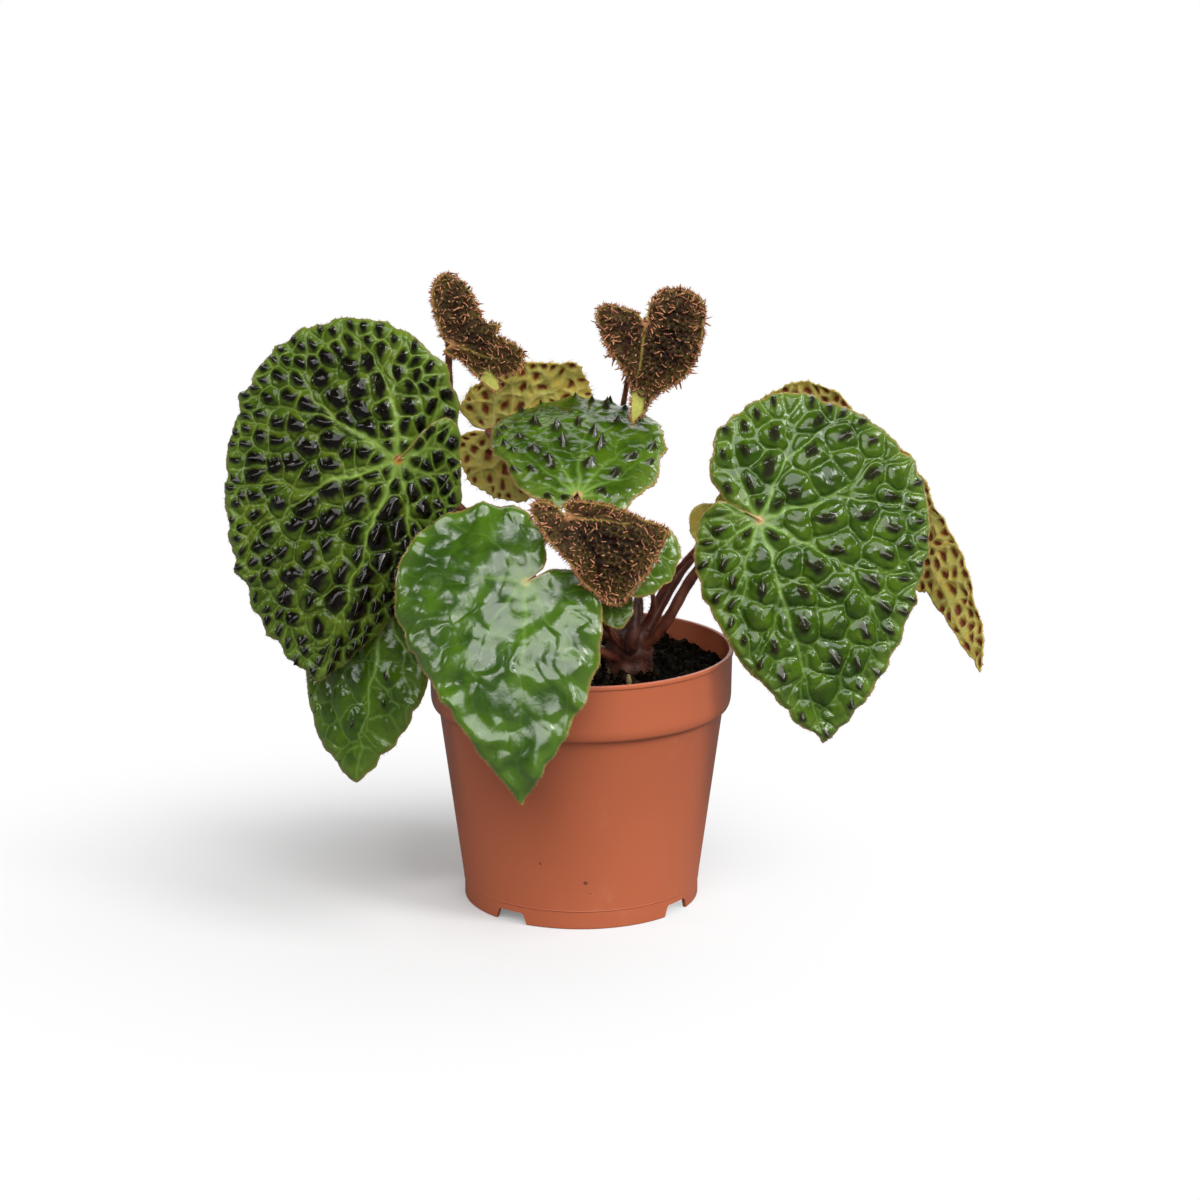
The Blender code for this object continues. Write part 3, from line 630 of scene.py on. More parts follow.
# %% The net of fine veins
def net_lines(centres):
    """Pairs of points: the borders between neighbouring blisters."""
    corners, _, faces, *_ = delaunay_2d_cdt([Vector(c) for c in centres], [], [], 0, 1e-6)
    hubs, owners = [], {}
    for index, face in enumerate(faces):
        a, b, c = (np.array(corners[i]) for i in face)
        ab, ac = b - a, c - a
        cross = 2 * (ab[0] * ac[1] - ab[1] * ac[0])
        centre = a + np.array(
            [ac[1] * (ab @ ab) - ab[1] * (ac @ ac), ab[0] * (ac @ ac) - ac[0] * (ab @ ab)]
        ) / cross
        hubs.append(centre)
        for pair in zip(face, face[1:] + face[:1]):
            owners.setdefault(tuple(sorted(pair)), []).append(index)
    return [(hubs[pair[0]], hubs[pair[1]]) for pair in owners.values() if len(pair) == 2]


# %% [markdown]
# ## Meshing the flat sheet
#
# The sheet is a triangle mesh whose points are chosen where the surface needs them: on the
# margin, on every vein, in rings round each cone, and on an even grid everywhere else. Blender's
# Delaunay routine joins them. That gives crisp cones and veins for a fraction of the triangles
# that one fine grid would take.

# %% Choosing the points
CONE_RINGS = ((0, 1), (0.14, 6), (0.32, 8), (0.55, 10), (0.8, 12))


def cone_points(centres, radius):
    found = []
    for share, count in CONE_RINGS:
        turn = np.arange(count) * math.tau / count + share
        ring = share * radius * np.stack([np.cos(turn), np.sin(turn)], axis=1)
        found.append((centres[:, None] + ring).reshape(-1, 2))
    return np.concatenate(found)


def grid_points(ring, step):
    """An even triangular grid over a ring."""
    low, high = ring.min(axis=0), ring.max(axis=0)
    rows = np.arange(low[1], high[1], step * math.sqrt(3) / 2)
    columns = np.arange(low[0], high[0], step)
    x, y = np.meshgrid(columns, rows)
    x = x + (np.arange(len(rows)) % 2)[:, None] * step / 2
    return np.stack([x.ravel(), y.ravel()], axis=1)


def thinned(points, settled, gap):
    """The points that keep a gap to those already settled."""
    tree = kdtree.KDTree(len(settled))
    for index, (x, y) in enumerate(settled):
        tree.insert((x, y, 0), index)
    tree.balance()
    far = [tree.find((x, y, 0))[2] > gap for x, y in points]
    return points[np.array(far, bool)]


def line_points(lines, step):
    """Points along many lines, one in each small square that they cross."""
    points = np.concatenate([along(np.array(line), step) for line in lines])
    squares = np.round(points / (0.7 * step)).astype(int)
    return points[np.unique(squares, axis=0, return_index=True)[1]]


def flat_sheet(leaf, ring, centres, cone_centres):
    """Triangles of the flat blade."""
    step = leaf.mesh_step
    groups = [(cone_points(cone_centres, leaf.cone_radius), 0.3)] if len(cone_centres) else []
    groups.append((line_points([line for line, _ in veins(leaf)], step), 0.5))
    groups.append((line_points(net_lines(centres), step), 0.5))
    groups.append((grid_points(ring, step), 0.5))
    settled = ring
    edges = np.roll(ring, -1, axis=0)
    for group, gap in groups:
        group = group[inside(group, ring)]
        group = group[distance_to_lines(group, ring, edges)[0] > 0.45 * step]
        settled = np.vstack([settled, thinned(group, settled, gap * step)])
    rim = list(range(len(ring)))
    corners, _, faces, *_ = delaunay_2d_cdt([Vector(p) for p in settled], [], [rim], 1, 1e-6)
    return np.array([tuple(c) for c in corners]), np.array(faces)


# %% [markdown]
# ## The skin's relief
#
# At each point we need the height of the skin and the masks for the finish: how much it is a
# vein, how dark it is, how close to the margin or the junction, and whether it is the pale tip
# of a young leaf. A blister's dome rises with the distance from the nearest border, and a cone is
# added round its centre. Small creases and long folds keep the skin from looking moulded.

# %% Height and masks
FINE_VEIN_WIDTH = 0.32
MAIN_VEIN_WIDTH = 0.6
NEIGHBOURS = 8
BORDER_SOFTNESS = 0.11
STREAK = 1.5
PATCH_NOISE = 0.45
CONELESS_CAP = 0.25


def drift_at(points, scale, seed):
    """Smooth noise between about -1 and 1 at flat points."""
    return np.array([noise.noise(Vector((x * scale, y * scale, seed))) for x, y in points])


def nearest_blisters(points, centres, soft):
    """Each point's own blister, its distance, and how far its border is, sharply and softly."""
    gaps = np.linalg.norm(points[:, None] - centres, axis=2)
    few = min(NEIGHBOURS, len(centres))
    near = np.argpartition(gaps, few - 1, axis=1)[:, :few]
    near_gaps = np.take_along_axis(gaps, near, axis=1)
    order = near_gaps.argsort(axis=1)
    near = np.take_along_axis(near, order, axis=1)
    near_gaps = np.take_along_axis(near_gaps, order, axis=1)
    own = near[:, 0]
    between = np.linalg.norm(centres[near[:, 1:]] - centres[own][:, None], axis=2)
    borders = (near_gaps[:, 1:] ** 2 - near_gaps[:, :1] ** 2) / (2 * between)
    softly = -soft * np.log(np.exp(-borders / soft[:, None]).sum(axis=1)[:, None])[:, 0]
    return own, near_gaps[:, 0], borders.min(axis=1), softly


def creases(leaf, points, far, seed):
    """Small sharp creases between soft bumps, and folds that run out from the junction."""
    bumps = np.abs(drift_at(points, leaf.crumples, seed + 1))
    bumps = bumps + 0.4 * np.abs(drift_at(points, 2.1 * leaf.crumples, seed + 2))
    turn = np.arctan2(points[:, 1], points[:, 0]) + 0.15 * drift_at(points, 0.08, seed + 6)
    rays = [abs(noise.noise(Vector((5 * t, 0.03 * f, seed)))) for t, f in zip(turn, far)]
    folds = leaf.pleat * np.array(rays) * smooth(far, 12, 40)
    return (leaf.crumple * bumps + folds) * smooth(far, 1, 10)


def pale_share(leaf, points):
    """1 on the smooth pale tip of a young leaf and 0 off it."""
    turn = math.radians(leaf.tip_angle)
    ahead = points @ (math.cos(turn), math.sin(turn))
    aside = np.abs(points @ (-math.sin(turn), math.cos(turn)))
    near_tip = smooth(ahead / leaf.length, leaf.pale_tip, leaf.pale_tip + 0.15)
    return near_tip * (1 - smooth(aside, 2.5, 4.5))


def dome_at(leaf, wall, space):
    """A blister's dome: 0 at its border and 1 on top, round or soft."""
    rise = np.clip(wall / (0.4 * space), 0, 1)
    round_dome = np.sqrt(1 - (1 - rise) ** 2)
    return round_dome * (1 - leaf.soft) + smooth(rise, 0, 1) * leaf.soft


def streak_at(points, away, far):
    """Distance from a blister's centre, shortened along the way out from the junction."""
    outwards = points / np.maximum(far, 1)[:, None]
    radial = (away * outwards).sum(axis=1)
    sideways = np.abs(away[:, 0] * outwards[:, 1] - away[:, 1] * outwards[:, 0])
    return np.hypot(radial / STREAK, sideways * STREAK**0.5)


def cap_at(leaf, points, streak, space, crowd, seed):
    """1 on a blister's dark cap and 0 off it, with a ragged border."""
    # The narrow half gets larger dark caps: partly its denser dark cones, partly painted shade where
    # that half folds away.
    shade = np.where(points[:, 1] < 0, math.sqrt(leaf.spiky), 1)
    patch = streak / np.maximum(leaf.blotch * shade * (0.9 + 0.5 * crowd) * space / 2, 0.1)
    patch = patch * (1 + PATCH_NOISE * drift_at(points, 0.45, seed))
    return (1 - smooth(patch, 0.5, 1.1)) * (leaf.blotch > 0)


def relief(leaf, points, centres, spacing, cones, ring, seed):
    """What the skin does at each flat point, by name."""
    edge_gap = distance_to_lines(points, ring, np.roll(ring, -1, axis=0))[0]
    starts, ends, wide0, wide1 = vein_pieces(leaf)
    vein_gap, piece, share = distance_to_lines(points, starts, ends)
    width = leaf.vein_size * (wide0[piece] * (1 - share) + wide1[piece] * share)
    soft = np.full(len(points), BORDER_SOFTNESS * leaf.cell)
    own, near, border, soft_border = nearest_blisters(points, centres, soft)
    space = spacing[own]
    beside_vein = np.maximum(vein_gap - 0.3 * width, 0)
    wall = -soft * np.log(np.exp(-soft_border / soft) + np.exp(-beside_vein / soft))
    calm = smooth(edge_gap, 0.2, 2.2)
    swell = np.random.default_rng(seed).uniform(0.7, 1.2, len(centres))
    height = leaf.puff * dome_at(leaf, wall, space) * calm * swell[own] * space / leaf.cell
    far = np.linalg.norm(points, axis=1)
    if not leaf.bristle:
        height = height + creases(leaf, points, far, seed) * calm
    streak = streak_at(points, points - centres[own], far)
    cone_share = np.clip(1 - streak / (leaf.cone_radius * np.sqrt(space / leaf.cell)), 0, 1)
    cone = cones[own] * cone_share**1.5
    fine = np.exp(-((border / FINE_VEIN_WIDTH) ** 2)) * smooth(vein_gap, 0.5, 1.2) * calm
    main = np.exp(-((vein_gap / (MAIN_VEIN_WIDTH * (0.3 + width))) ** 2))
    paling = leaf.ribs + (1 - leaf.ribs) * np.exp(-far / 9)
    strength = (0.3 + 0.7 * np.minimum(width, 1)) * paling
    if leaf.bristle:
        strength = strength * 0.8 * np.exp(-np.abs(points[:, 1]) / 0.8)
    vein = np.maximum(fine * leaf.net, main * strength)
    crowd = leaf.merge * smooth(drift_at(points, 0.06, seed + 4), -0.25, 0.3) * smooth(edge_gap, 6, 14)
    lone = np.where(cones[own] > 0, 1, CONELESS_CAP if leaf.cone else 1)
    dark = cap_at(leaf, points, streak, space, crowd, seed) * lone
    dark = dark * np.maximum(smooth(border, 0.3, 0.9), 0.8 * crowd)
    return {
        "height": height, "cone": cone, "vein": vein * (1 - 0.6 * crowd * (main < 0.3)),
        "dark": dark * (1 - main), "rim": 1 - smooth(edge_gap, 0.1, 0.9), "edge_gap": edge_gap,
        # Paler green near the margin, with a ragged inner edge: painted sheen.
        "fresh": 1 - smooth(edge_gap + 2 * drift_at(points, 0.2, seed), 0, 9),
        "hub": np.exp(-far / 5), "tone": pale_share(leaf, points),
    }


# %% [markdown]
# ## Bending the blade
#
# The flat sheet is bent as the living leaf bends: the tip droops, the lobes drop, and each half
# folds down from the midrib and then curls. Every bend is a strip that starts at an angle and
# turns steadily, so lengths along it are kept.

# %% From flat to bent
SOFT_FOLD = 0.03
CURL_SPAN = 0.6


def bend(distance, start, rate):
    """Follows a strip that starts at an angle and turns steadily: (run, drop, end angle)."""
    rate = np.where(np.abs(rate) < 1e-6, 1e-6, rate)
    end = start + rate * distance
    run = (np.sin(end) - np.sin(start)) / rate
    drop = (np.cos(start) - np.cos(end)) / rate
    return run, drop, end


def blade_frame(leaf):
    """Axes of the blade, as rows (towards the tip, to the wide side, out of the upper side)."""
    round_from_front, up = (math.radians(angle) for angle in leaf.faces)
    normal = Vector(
        (
            math.sin(round_from_front) * math.cos(up),
            -math.cos(round_from_front) * math.cos(up),
            math.sin(up),
        )
    )
    down = (Vector((0, 0, -1)) - normal * -normal.z).normalized()
    across = normal.cross(down)
    spin = math.radians(leaf.spin)
    tip = math.cos(spin) * down + math.sin(spin) * across
    return np.array([tip, normal.cross(tip), normal])


def stand(leaf, flat, height):
    """Places over flat points, at a height above the bent blade, in mm from the pot's axis."""
    x, y = flat.T
    ahead = np.where(x >= 0, 1, -1)
    droop = np.where(x >= 0, leaf.droop, leaf.lobe_drop)
    run, drop, tilt = bend(np.abs(x), 0, np.radians(droop) / leaf.length)
    fold = np.radians(np.where(y > 0, leaf.fold_wide, leaf.fold_narrow))
    curl = np.radians(np.where(y > 0, leaf.curl_wide, leaf.curl_narrow))
    curl_rate = curl / (CURL_SPAN * leaf.length)
    soft = SOFT_FOLD * leaf.length
    out = bend(np.abs(y), fold, curl_rate)[0]
    fall = bend(np.hypot(y, soft) - soft, fold, curl_rate)[1]
    lift = height - fall
    own = np.stack(
        [
            ahead * (run + np.sin(tilt) * lift),
            np.copysign(out, y) * leaf.wide_side,
            np.cos(tilt) * lift - drop,
        ],
        axis=1,
    )
    return np.array(leaf.junction) + own @ blade_frame(leaf)


# %% [markdown]
# ## Hairs and bristles
#
# Hairs are real geometry: slim cones with a bend in them. One helper makes a whole coat of them
# at once from their roots, directions and lengths, so that a leaf's bristles, the fringe on its
# margin and the fuzz on a stalk all come from the same few lines.

# %% A coat of hairs
def coat(roots, directions, lengths, radius, sides=3, steps=2, sag=0.35, taper=0.8, seed=1):
    """Points, triangles and height share (0 at the root, 1 at the tip) of many tapered hairs."""
    rng = np.random.default_rng(seed)
    directions = directions / np.linalg.norm(directions, axis=1)[:, None]
    helper = np.where(np.abs(directions[:, 2:]) < 0.9, [[0.0, 0.0, 1.0]], [[1.0, 0.0, 0.0]])
    across = np.cross(directions, helper)
    across /= np.linalg.norm(across, axis=1)[:, None]
    other = np.cross(directions, across)
    sway, swing = rng.normal(scale=sag, size=(2, len(roots), 1))
    bow = across * sway + other * swing
    bow /= np.maximum(np.linalg.norm(bow, axis=1), 1)[:, None]
    rings, shares = [], []
    for step in range(steps):
        share = step / steps
        centre = roots + lengths[:, None] * (directions * share + bow * share**2)
        for side in range(sides):
            turn = math.tau * side / sides
            offset = across * math.cos(turn) + other * math.sin(turn)
            rings.append(centre + offset * radius * (1 - taper * share))
            shares.append(np.full(len(roots), share))
    rings.append(roots + lengths[:, None] * (directions + bow))
    shares.append(np.ones(len(roots)))
    points = np.stack(rings, axis=1)
    pattern = []
    for step in range(steps - 1):
        for side in range(sides):
            a = step * sides + side
            b = step * sides + (side + 1) % sides
            pattern += [(a, b, b + sides), (a, b + sides, a + sides)]
    top = (steps - 1) * sides
    pattern += [(top + side, top + (side + 1) % sides, steps * sides) for side in range(sides)]
    pattern += [(0, side + 1, side) for side in range(1, sides - 1)]
    size = points.shape[1]
    starts = np.arange(len(roots))[:, None, None] * size
    triangles = (starts + np.array(pattern)).reshape(-1, 3)
    return points.reshape(-1, 3), triangles, np.stack(shares, axis=1).ravel()


# %% [markdown]
# A piece gathers several such batches of points, triangles and masks into one mesh. The masks
# become attributes that the finish reads. `done` turns millimetres into metres, sets the piece
# on the pot's axis, hangs it on the plant's body and hides the plain solids it replaces.

# %% Gathering a piece
class Piece:
    """A mesh in the making, in mm from the pot's axis."""

    MASKS = ("vein", "dark", "rim", "fresh", "hub", "under", "hair", "tone")

    def __init__(self, name):
        self.name = name
        self.points, self.triangles = [], []
        self.masks = {mask: [] for mask in self.MASKS}
        self.count = 0

    def add(self, points, triangles, **masks):
        self.points.append(points)
        self.triangles.append(np.asarray(triangles) + self.count)
        for mask in self.MASKS:
            values = masks.get(mask, 0.0)
            self.masks[mask].append(np.broadcast_to(values, len(points)))
        self.count += len(points)

    def done(self, finish, slot, *nodes):
        mesh = bpy.data.meshes.new(self.name)
        points = np.concatenate(self.points) * MM + np.array(AXIS)
        triangles = np.concatenate(self.triangles)
        mesh.from_pydata(points.tolist(), [], triangles.tolist())
        for mask, parts in self.masks.items():
            values = np.concatenate(parts)
            if values.any():
                mesh.attributes.new(mask, "FLOAT", "POINT").data.foreach_set("value", values)
        mesh.shade_smooth()
        mesh.materials.append(finish)
        piece = bpy.data.objects.new(self.name, mesh)
        bpy.context.scene.collection.objects.link(piece)
        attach(piece, "root")
        if nodes:
            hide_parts(*nodes)
        print(f"{self.name}: {len(triangles)} triangles")
        return piece


# %% [markdown]
# ## Leaf finishes
#
# A leaf's colour is layered: a green that drifts a little from patch to patch and turns paler
# towards the margin as painted sheen, pale veins over it, near-black cones, a tan margin, and a
# different underside. Bristles turn near black towards their roots, partly their own dark base and
# partly painted shade between them. Only those colours and the gloss differ between the finishes,
# so one function makes them all. The veins and the underside are a little less glossy than the rest.

# %% Leaf skins
@dataclass
class Skin:
    """Colours of one kind of leaf."""

    green: tuple
    deep: tuple
    # Paler green: painted sheen towards the margin on the upper side, and random paler patches
    # underneath.
    fresh: tuple
    vein: tuple
    dark: tuple
    rim: tuple
    hub: tuple
    young_vein: tuple
    under: tuple
    under_dark: tuple
    hair: tuple
    hair_light: tuple
    hair_tip: tuple
    roughness: float = 0.2
    gloss: float = 0.42


SKINS = {
    "leaf_dark": Skin(
        green=(0.078, 0.12, 0.008), deep=(0.034, 0.066, 0.003), fresh=(0.11, 0.18, 0.02),
        vein=(0.2, 0.3, 0.05), dark=(0.003, 0.002, 0.001), rim=(0.2, 0.17, 0.04),
        hub=(0.5, 0.16, 0.03), young_vein=(0.17, 0.26, 0.045), under=(0.16, 0.15, 0.035),
        under_dark=(0.06, 0.018, 0.008),
        hair=(0.1, 0.03, 0.02), hair_light=(0.2, 0.1, 0.06), hair_tip=(0.3, 0.22, 0.12),
        roughness=0.16, gloss=0.27,
    ),
    "leaf_green": Skin(
        green=(0.054, 0.11, 0.003), deep=(0.022, 0.056, 0.001), fresh=(0.11, 0.18, 0.02),
        vein=(0.18, 0.3, 0.06), dark=(0.016, 0.017, 0.004), rim=(0.4, 0.24, 0.08),
        hub=(0.5, 0.28, 0.12), young_vein=(0.16, 0.28, 0.045), under=(0.2, 0.2, 0.045),
        under_dark=(0.09, 0.022, 0.01),
        hair=(0.3, 0.16, 0.08), hair_light=(0.4, 0.2, 0.1), hair_tip=(0.5, 0.34, 0.2),
        roughness=0.2, gloss=0.42,
    ),
    "leaf_bright": Skin(
        green=(0.05, 0.118, 0.003), deep=(0.02, 0.06, 0.001), fresh=(0.07, 0.145, 0.008),
        vein=(0.2, 0.36, 0.06), dark=(0.03, 0.06, 0.01), rim=(0.34, 0.2, 0.06),
        hub=(0.3, 0.3, 0.05), young_vein=(0.1, 0.19, 0.015), under=(0.2, 0.24, 0.05),
        under_dark=(0.1, 0.12, 0.03),
        hair=(0.34, 0.2, 0.08), hair_light=(0.4, 0.24, 0.1), hair_tip=(0.5, 0.34, 0.16),
        roughness=0.25, gloss=0.75,
    ),
    "leaf_olive": Skin(
        green=(0.09, 0.12, 0.018), deep=(0.05, 0.075, 0.01), fresh=(0.36, 0.33, 0.06),
        vein=(0.6, 0.56, 0.2), dark=(0.03, 0.015, 0.008), rim=(0.5, 0.34, 0.1),
        hub=(0.5, 0.3, 0.1), young_vein=(0.5, 0.5, 0.15), under=(0.46, 0.33, 0.045),
        under_dark=(0.13, 0.022, 0.008),
        hair=(0.4, 0.3, 0.12), hair_light=(0.5, 0.4, 0.16), hair_tip=(0.6, 0.5, 0.25),
        roughness=0.4, gloss=0.2,
    ),
    "leaf_brown": Skin(
        green=(0.02, 0.008, 0.003), deep=(0.006, 0.002, 0.001), fresh=(0.05, 0.03, 0.008),
        vein=(0.42, 0.32, 0.07), dark=(0.012, 0.005, 0.003), rim=(0.42, 0.28, 0.07),
        hub=(0.3, 0.12, 0.06), young_vein=(0.26, 0.17, 0.04), under=(0.3, 0.2, 0.05),
        under_dark=(0.1, 0.035, 0.015),
        hair=(0.05, 0.014, 0.01), hair_light=(0.38, 0.15, 0.085), hair_tip=(0.58, 0.33, 0.15),
        roughness=0.4, gloss=0.05,
    ),
}
PALE_TIP = (0.36, 0.36, 0.08)


def leaf_finish(name, skin):
    finish = Finish(name, Specular_IOR_Level=skin.gloss)
    vein, dark, rim, tone = (finish.mask(mask) for mask in ("vein", "dark", "rim", "tone"))
    under, hair, fresh, hub = (finish.mask(mask) for mask in ("under", "hair", "fresh", "hub"))
    patches = finish.speckle(90, detail=3)
    green = finish.blend(finish.step(patches, 0.35, 0.65), skin.deep, skin.green)
    # Painted sheen: the green turns paler towards the margin.
    green = finish.blend(fresh * 0.7, green, skin.fresh)
    pale_vein = finish.blend(finish.step(hub, 0.02, 0.4), skin.vein, skin.young_vein)
    upper = finish.blend(vein, green, pale_vein)
    upper = finish.blend(dark, upper, skin.dark)
    drift = finish.speckle(160, detail=2)
    # Random paler patches underneath, in the same paler colour.
    below = finish.blend(finish.step(drift, 0.3, 0.7), skin.under, skin.fresh)
    below = finish.blend(vein * 0.6 + 0.1, below, skin.vein)
    below = finish.blend(dark, below, skin.under_dark)
    skin_colour = finish.blend(under, upper, below)
    skin_colour = finish.blend(finish.step(hub, 0.6, 0.8) * 0.8, skin_colour, skin.hub)
    skin_colour = finish.blend(rim * 0.75, skin_colour, skin.rim)
    skin_colour = finish.blend(tone, skin_colour, PALE_TIP)
    shaft = finish.blend(finish.step(tone, 0.2, 0.9), skin.hair, skin.hair_light)
    # Each bristle turns near black towards its root: partly its own dark base, partly painted shade in
    # the gaps between the close bristles.
    shaft = finish.blend(finish.step(hair, 0.05, 0.4), skin.dark, shaft)
    fuzz = finish.blend(finish.step(hair, 0.6, 1.0) * (tone * 0.6 + 0.3), shaft, skin.hair_tip)
    colour = finish.blend(hair > 0.001, skin_colour, fuzz)
    grain = finish.speckle(700, detail=4)
    roughness = vein * 0.15 + grain * 0.1 + under * 0.15 + (skin.roughness - 0.05)
    return finish.shine(colour, roughness, bump=grain, bump_depth=0.0001)


LEAF_FINISHES = {name: leaf_finish(name, skin) for name, skin in SKINS.items()}
print("leaf finishes:", ", ".join(LEAF_FINISHES))

# %% [markdown]
# ## Growing a leaf
#
# Now the pieces come together: cut the sheet, work out the relief, push it sideways a little so
# that no two blisters have the same shape, bend it into place above and below, close it round
# the rim, and add the fringe and the bristles.

# %% Sheet and rim
BLADE_THICKNESS = 0.5
FINE_WARP = 0.8
BROAD_WARP = 1.7
CONE_LEAN = 0.55
EDGE_BAND = 12
LOBE_LIFT = 0.09


def open_edges(triangles):
    """The directed edges that only one triangle has."""
    edges = np.concatenate([triangles[:, [0, 1]], triangles[:, [1, 2]], triangles[:, [2, 0]]])
    size = triangles.max() + 1
    forward = edges[:, 0] * size + edges[:, 1]
    backward = edges[:, 1] * size + edges[:, 0]
    return edges[~np.isin(forward, backward)]


def ripple_at(leaf, flat, edge_gap, seed):
    """Slow waves of the whole blade, which grow towards its margin."""
    waves = drift_at(flat, 0.1, seed) + 2 * drift_at(flat, 0.035, seed + 3)
    loose = 1 + 1.5 * (1 - smooth(edge_gap, 0, EDGE_BAND))
    return leaf.wave * waves * loose * smooth(np.linalg.norm(flat, axis=1), 0, 12)


def overlapped(leaf, flat):
    """Swings the two basal lobes towards each other, so that the narrow one covers the other."""
    angle = np.degrees(np.arctan2(flat[:, 1], flat[:, 0]))
    split = -OUTLINES[leaf.outline][1][-1][0] - 2
    angle = np.where(angle < split, angle + 360, angle)
    wide = leaf.overlap * smooth(angle, 165, 225)
    narrow = leaf.overlap * smooth(-angle, 70, 135)
    turned = np.radians(angle + wide - narrow)
    far = np.linalg.norm(flat, axis=1)
    lift = (smooth(-angle, 60, 120) - smooth(angle, 150, 210)) * smooth(far, 2, 12)
    place = far[:, None] * np.stack([np.cos(turned), np.sin(turned)], axis=1)
    return place, lift * LOBE_LIFT * leaf.overlap


def warp_at(leaf, flat, seed):
    """How far each point is pushed sideways, so that no two blisters have the same shape."""
    both = []
    for axis in (5, 9):
        fine = FINE_WARP * drift_at(flat, 0.22, seed + axis)
        broad = BROAD_WARP * drift_at(flat, 0.11, seed + axis + 20)
        both.append(fine + broad)
    loose = 0.3 if leaf.bristle else 1
    return np.stack(both, axis=1) * loose * smooth(np.linalg.norm(flat, axis=1), 0, 12)[:, None]


def grow_sheet(piece, leaf, seed):
    """Adds the closed blade and returns what the hairs need to know about it."""
    ring = margin(leaf, leaf.mesh_step)
    plain_ring = margin(leaf, 2.0, toothed=False)
    centres, spacing = spread_blisters(leaf, plain_ring, seed)
    rng = np.random.default_rng(seed + 100)
    cones = leaf.cone * rng.uniform(0.6, 1.25, len(centres)) * np.sqrt(spacing / leaf.cell)
    cones *= rng.uniform(size=len(centres)) < leaf.coned
    cones *= np.where(centres[:, 1] < 0, leaf.spiky, 1)
    flat, triangles = flat_sheet(leaf, ring, centres, centres[cones > 0])
    skin = relief(leaf, flat, centres, spacing, cones, plain_ring, seed)
    far = np.linalg.norm(flat, axis=1)
    outwards = flat / np.maximum(far, 1)[:, None]
    warped = flat + warp_at(leaf, flat, seed)
    warped = warped + outwards * (CONE_LEAN * skin["cone"])[:, None]
    base = ripple_at(leaf, flat, skin["edge_gap"], seed) + skin["height"] * smooth(far, 0, 8)
    if leaf.overlap:
        warped, lift = overlapped(leaf, warped)
        base = base + lift
    upper = stand(leaf, warped, base + skin["cone"] + BLADE_THICKNESS / 2)
    lower = stand(leaf, warped, base + 0.5 * skin["cone"] - BLADE_THICKNESS / 2)
    if leaf.wide_side < 0:
        triangles = triangles[:, ::-1]
    a, b = open_edges(triangles).T
    below = len(flat)
    walls = np.concatenate([np.stack([b, a, a + below], 1), np.stack([b, a + below, b + below], 1)])
    solid = np.concatenate([triangles, triangles[:, ::-1] + below, walls])
    under = np.concatenate([np.zeros(below), np.ones(below)])
    kept = ("vein", "dark", "rim", "fresh", "hub", "tone")
    doubled = {mask: np.concatenate([skin[mask]] * 2) for mask in kept}
    piece.add(np.concatenate([upper, lower]), solid, under=under, **doubled)
    roots_skin = relief(leaf, centres, centres, spacing, cones, plain_ring, seed)
    lift = ripple_at(leaf, centres, roots_skin["edge_gap"], seed) + roots_skin["height"]
    return {"upper": upper, "triangles": triangles, "centres": centres, "lift": lift, "rng": rng}


# %% [markdown]
# The fringe grows from the open edge of the upper side. The bristles of a young leaf grow one
# from each of its small, close blisters. They stand out from the skin, lean outwards and towards
# the leaf's tip, and bend, each in its own direction.

# %% Fringe and bristles
BRISTLE_RADIUS = 0.44
YOUNG_FRINGE_RADIUS = 0.22
FRINGE_RADIUS = 0.07


def point_normals(points, triangles):
    """Unit normals at the points of a triangle mesh."""
    corners = points[triangles]
    facing = np.cross(corners[:, 1] - corners[:, 0], corners[:, 2] - corners[:, 0])
    normals = np.zeros_like(points)
    for corner in range(3):
        np.add.at(normals, triangles[:, corner], facing)
    return normals / np.maximum(np.linalg.norm(normals, axis=1), 1e-9)[:, None]


def per_hair(values, points):
    return np.repeat(values, len(points) // len(values))


def grow_fringe(piece, leaf, sheet, seed):
    """Short hairs that stand out from the margin."""
    edges = open_edges(sheet["triangles"])
    upper, rng = sheet["upper"], sheet["rng"]
    normals = point_normals(upper, sheet["triangles"])
    start, end = upper[edges[:, 0]], upper[edges[:, 1]]
    count = int(len(edges) * (3.5 if leaf.bristle else 1.1))
    pick = rng.integers(0, len(edges), count)
    share = rng.uniform(size=(count, 1))
    roots = start[pick] * (1 - share) + end[pick] * share
    outwards = np.cross(end[pick] - start[pick], normals[edges[pick, 0]])
    outwards /= np.maximum(np.linalg.norm(outwards, axis=1), 1e-9)[:, None]
    directions = outwards + rng.normal(scale=0.4, size=(count, 3))
    lengths = leaf.edge_hair * rng.uniform(0.4, 1.2, count)
    radius = YOUNG_FRINGE_RADIUS if leaf.bristle else FRINGE_RADIUS
    points, triangles, share = coat(roots, directions, lengths, radius, sag=0.45, seed=seed)
    tone = per_hair(rng.uniform(0.5, 1, count), points)
    piece.add(points, triangles, hair=0.35 + 0.65 * share, tone=tone)


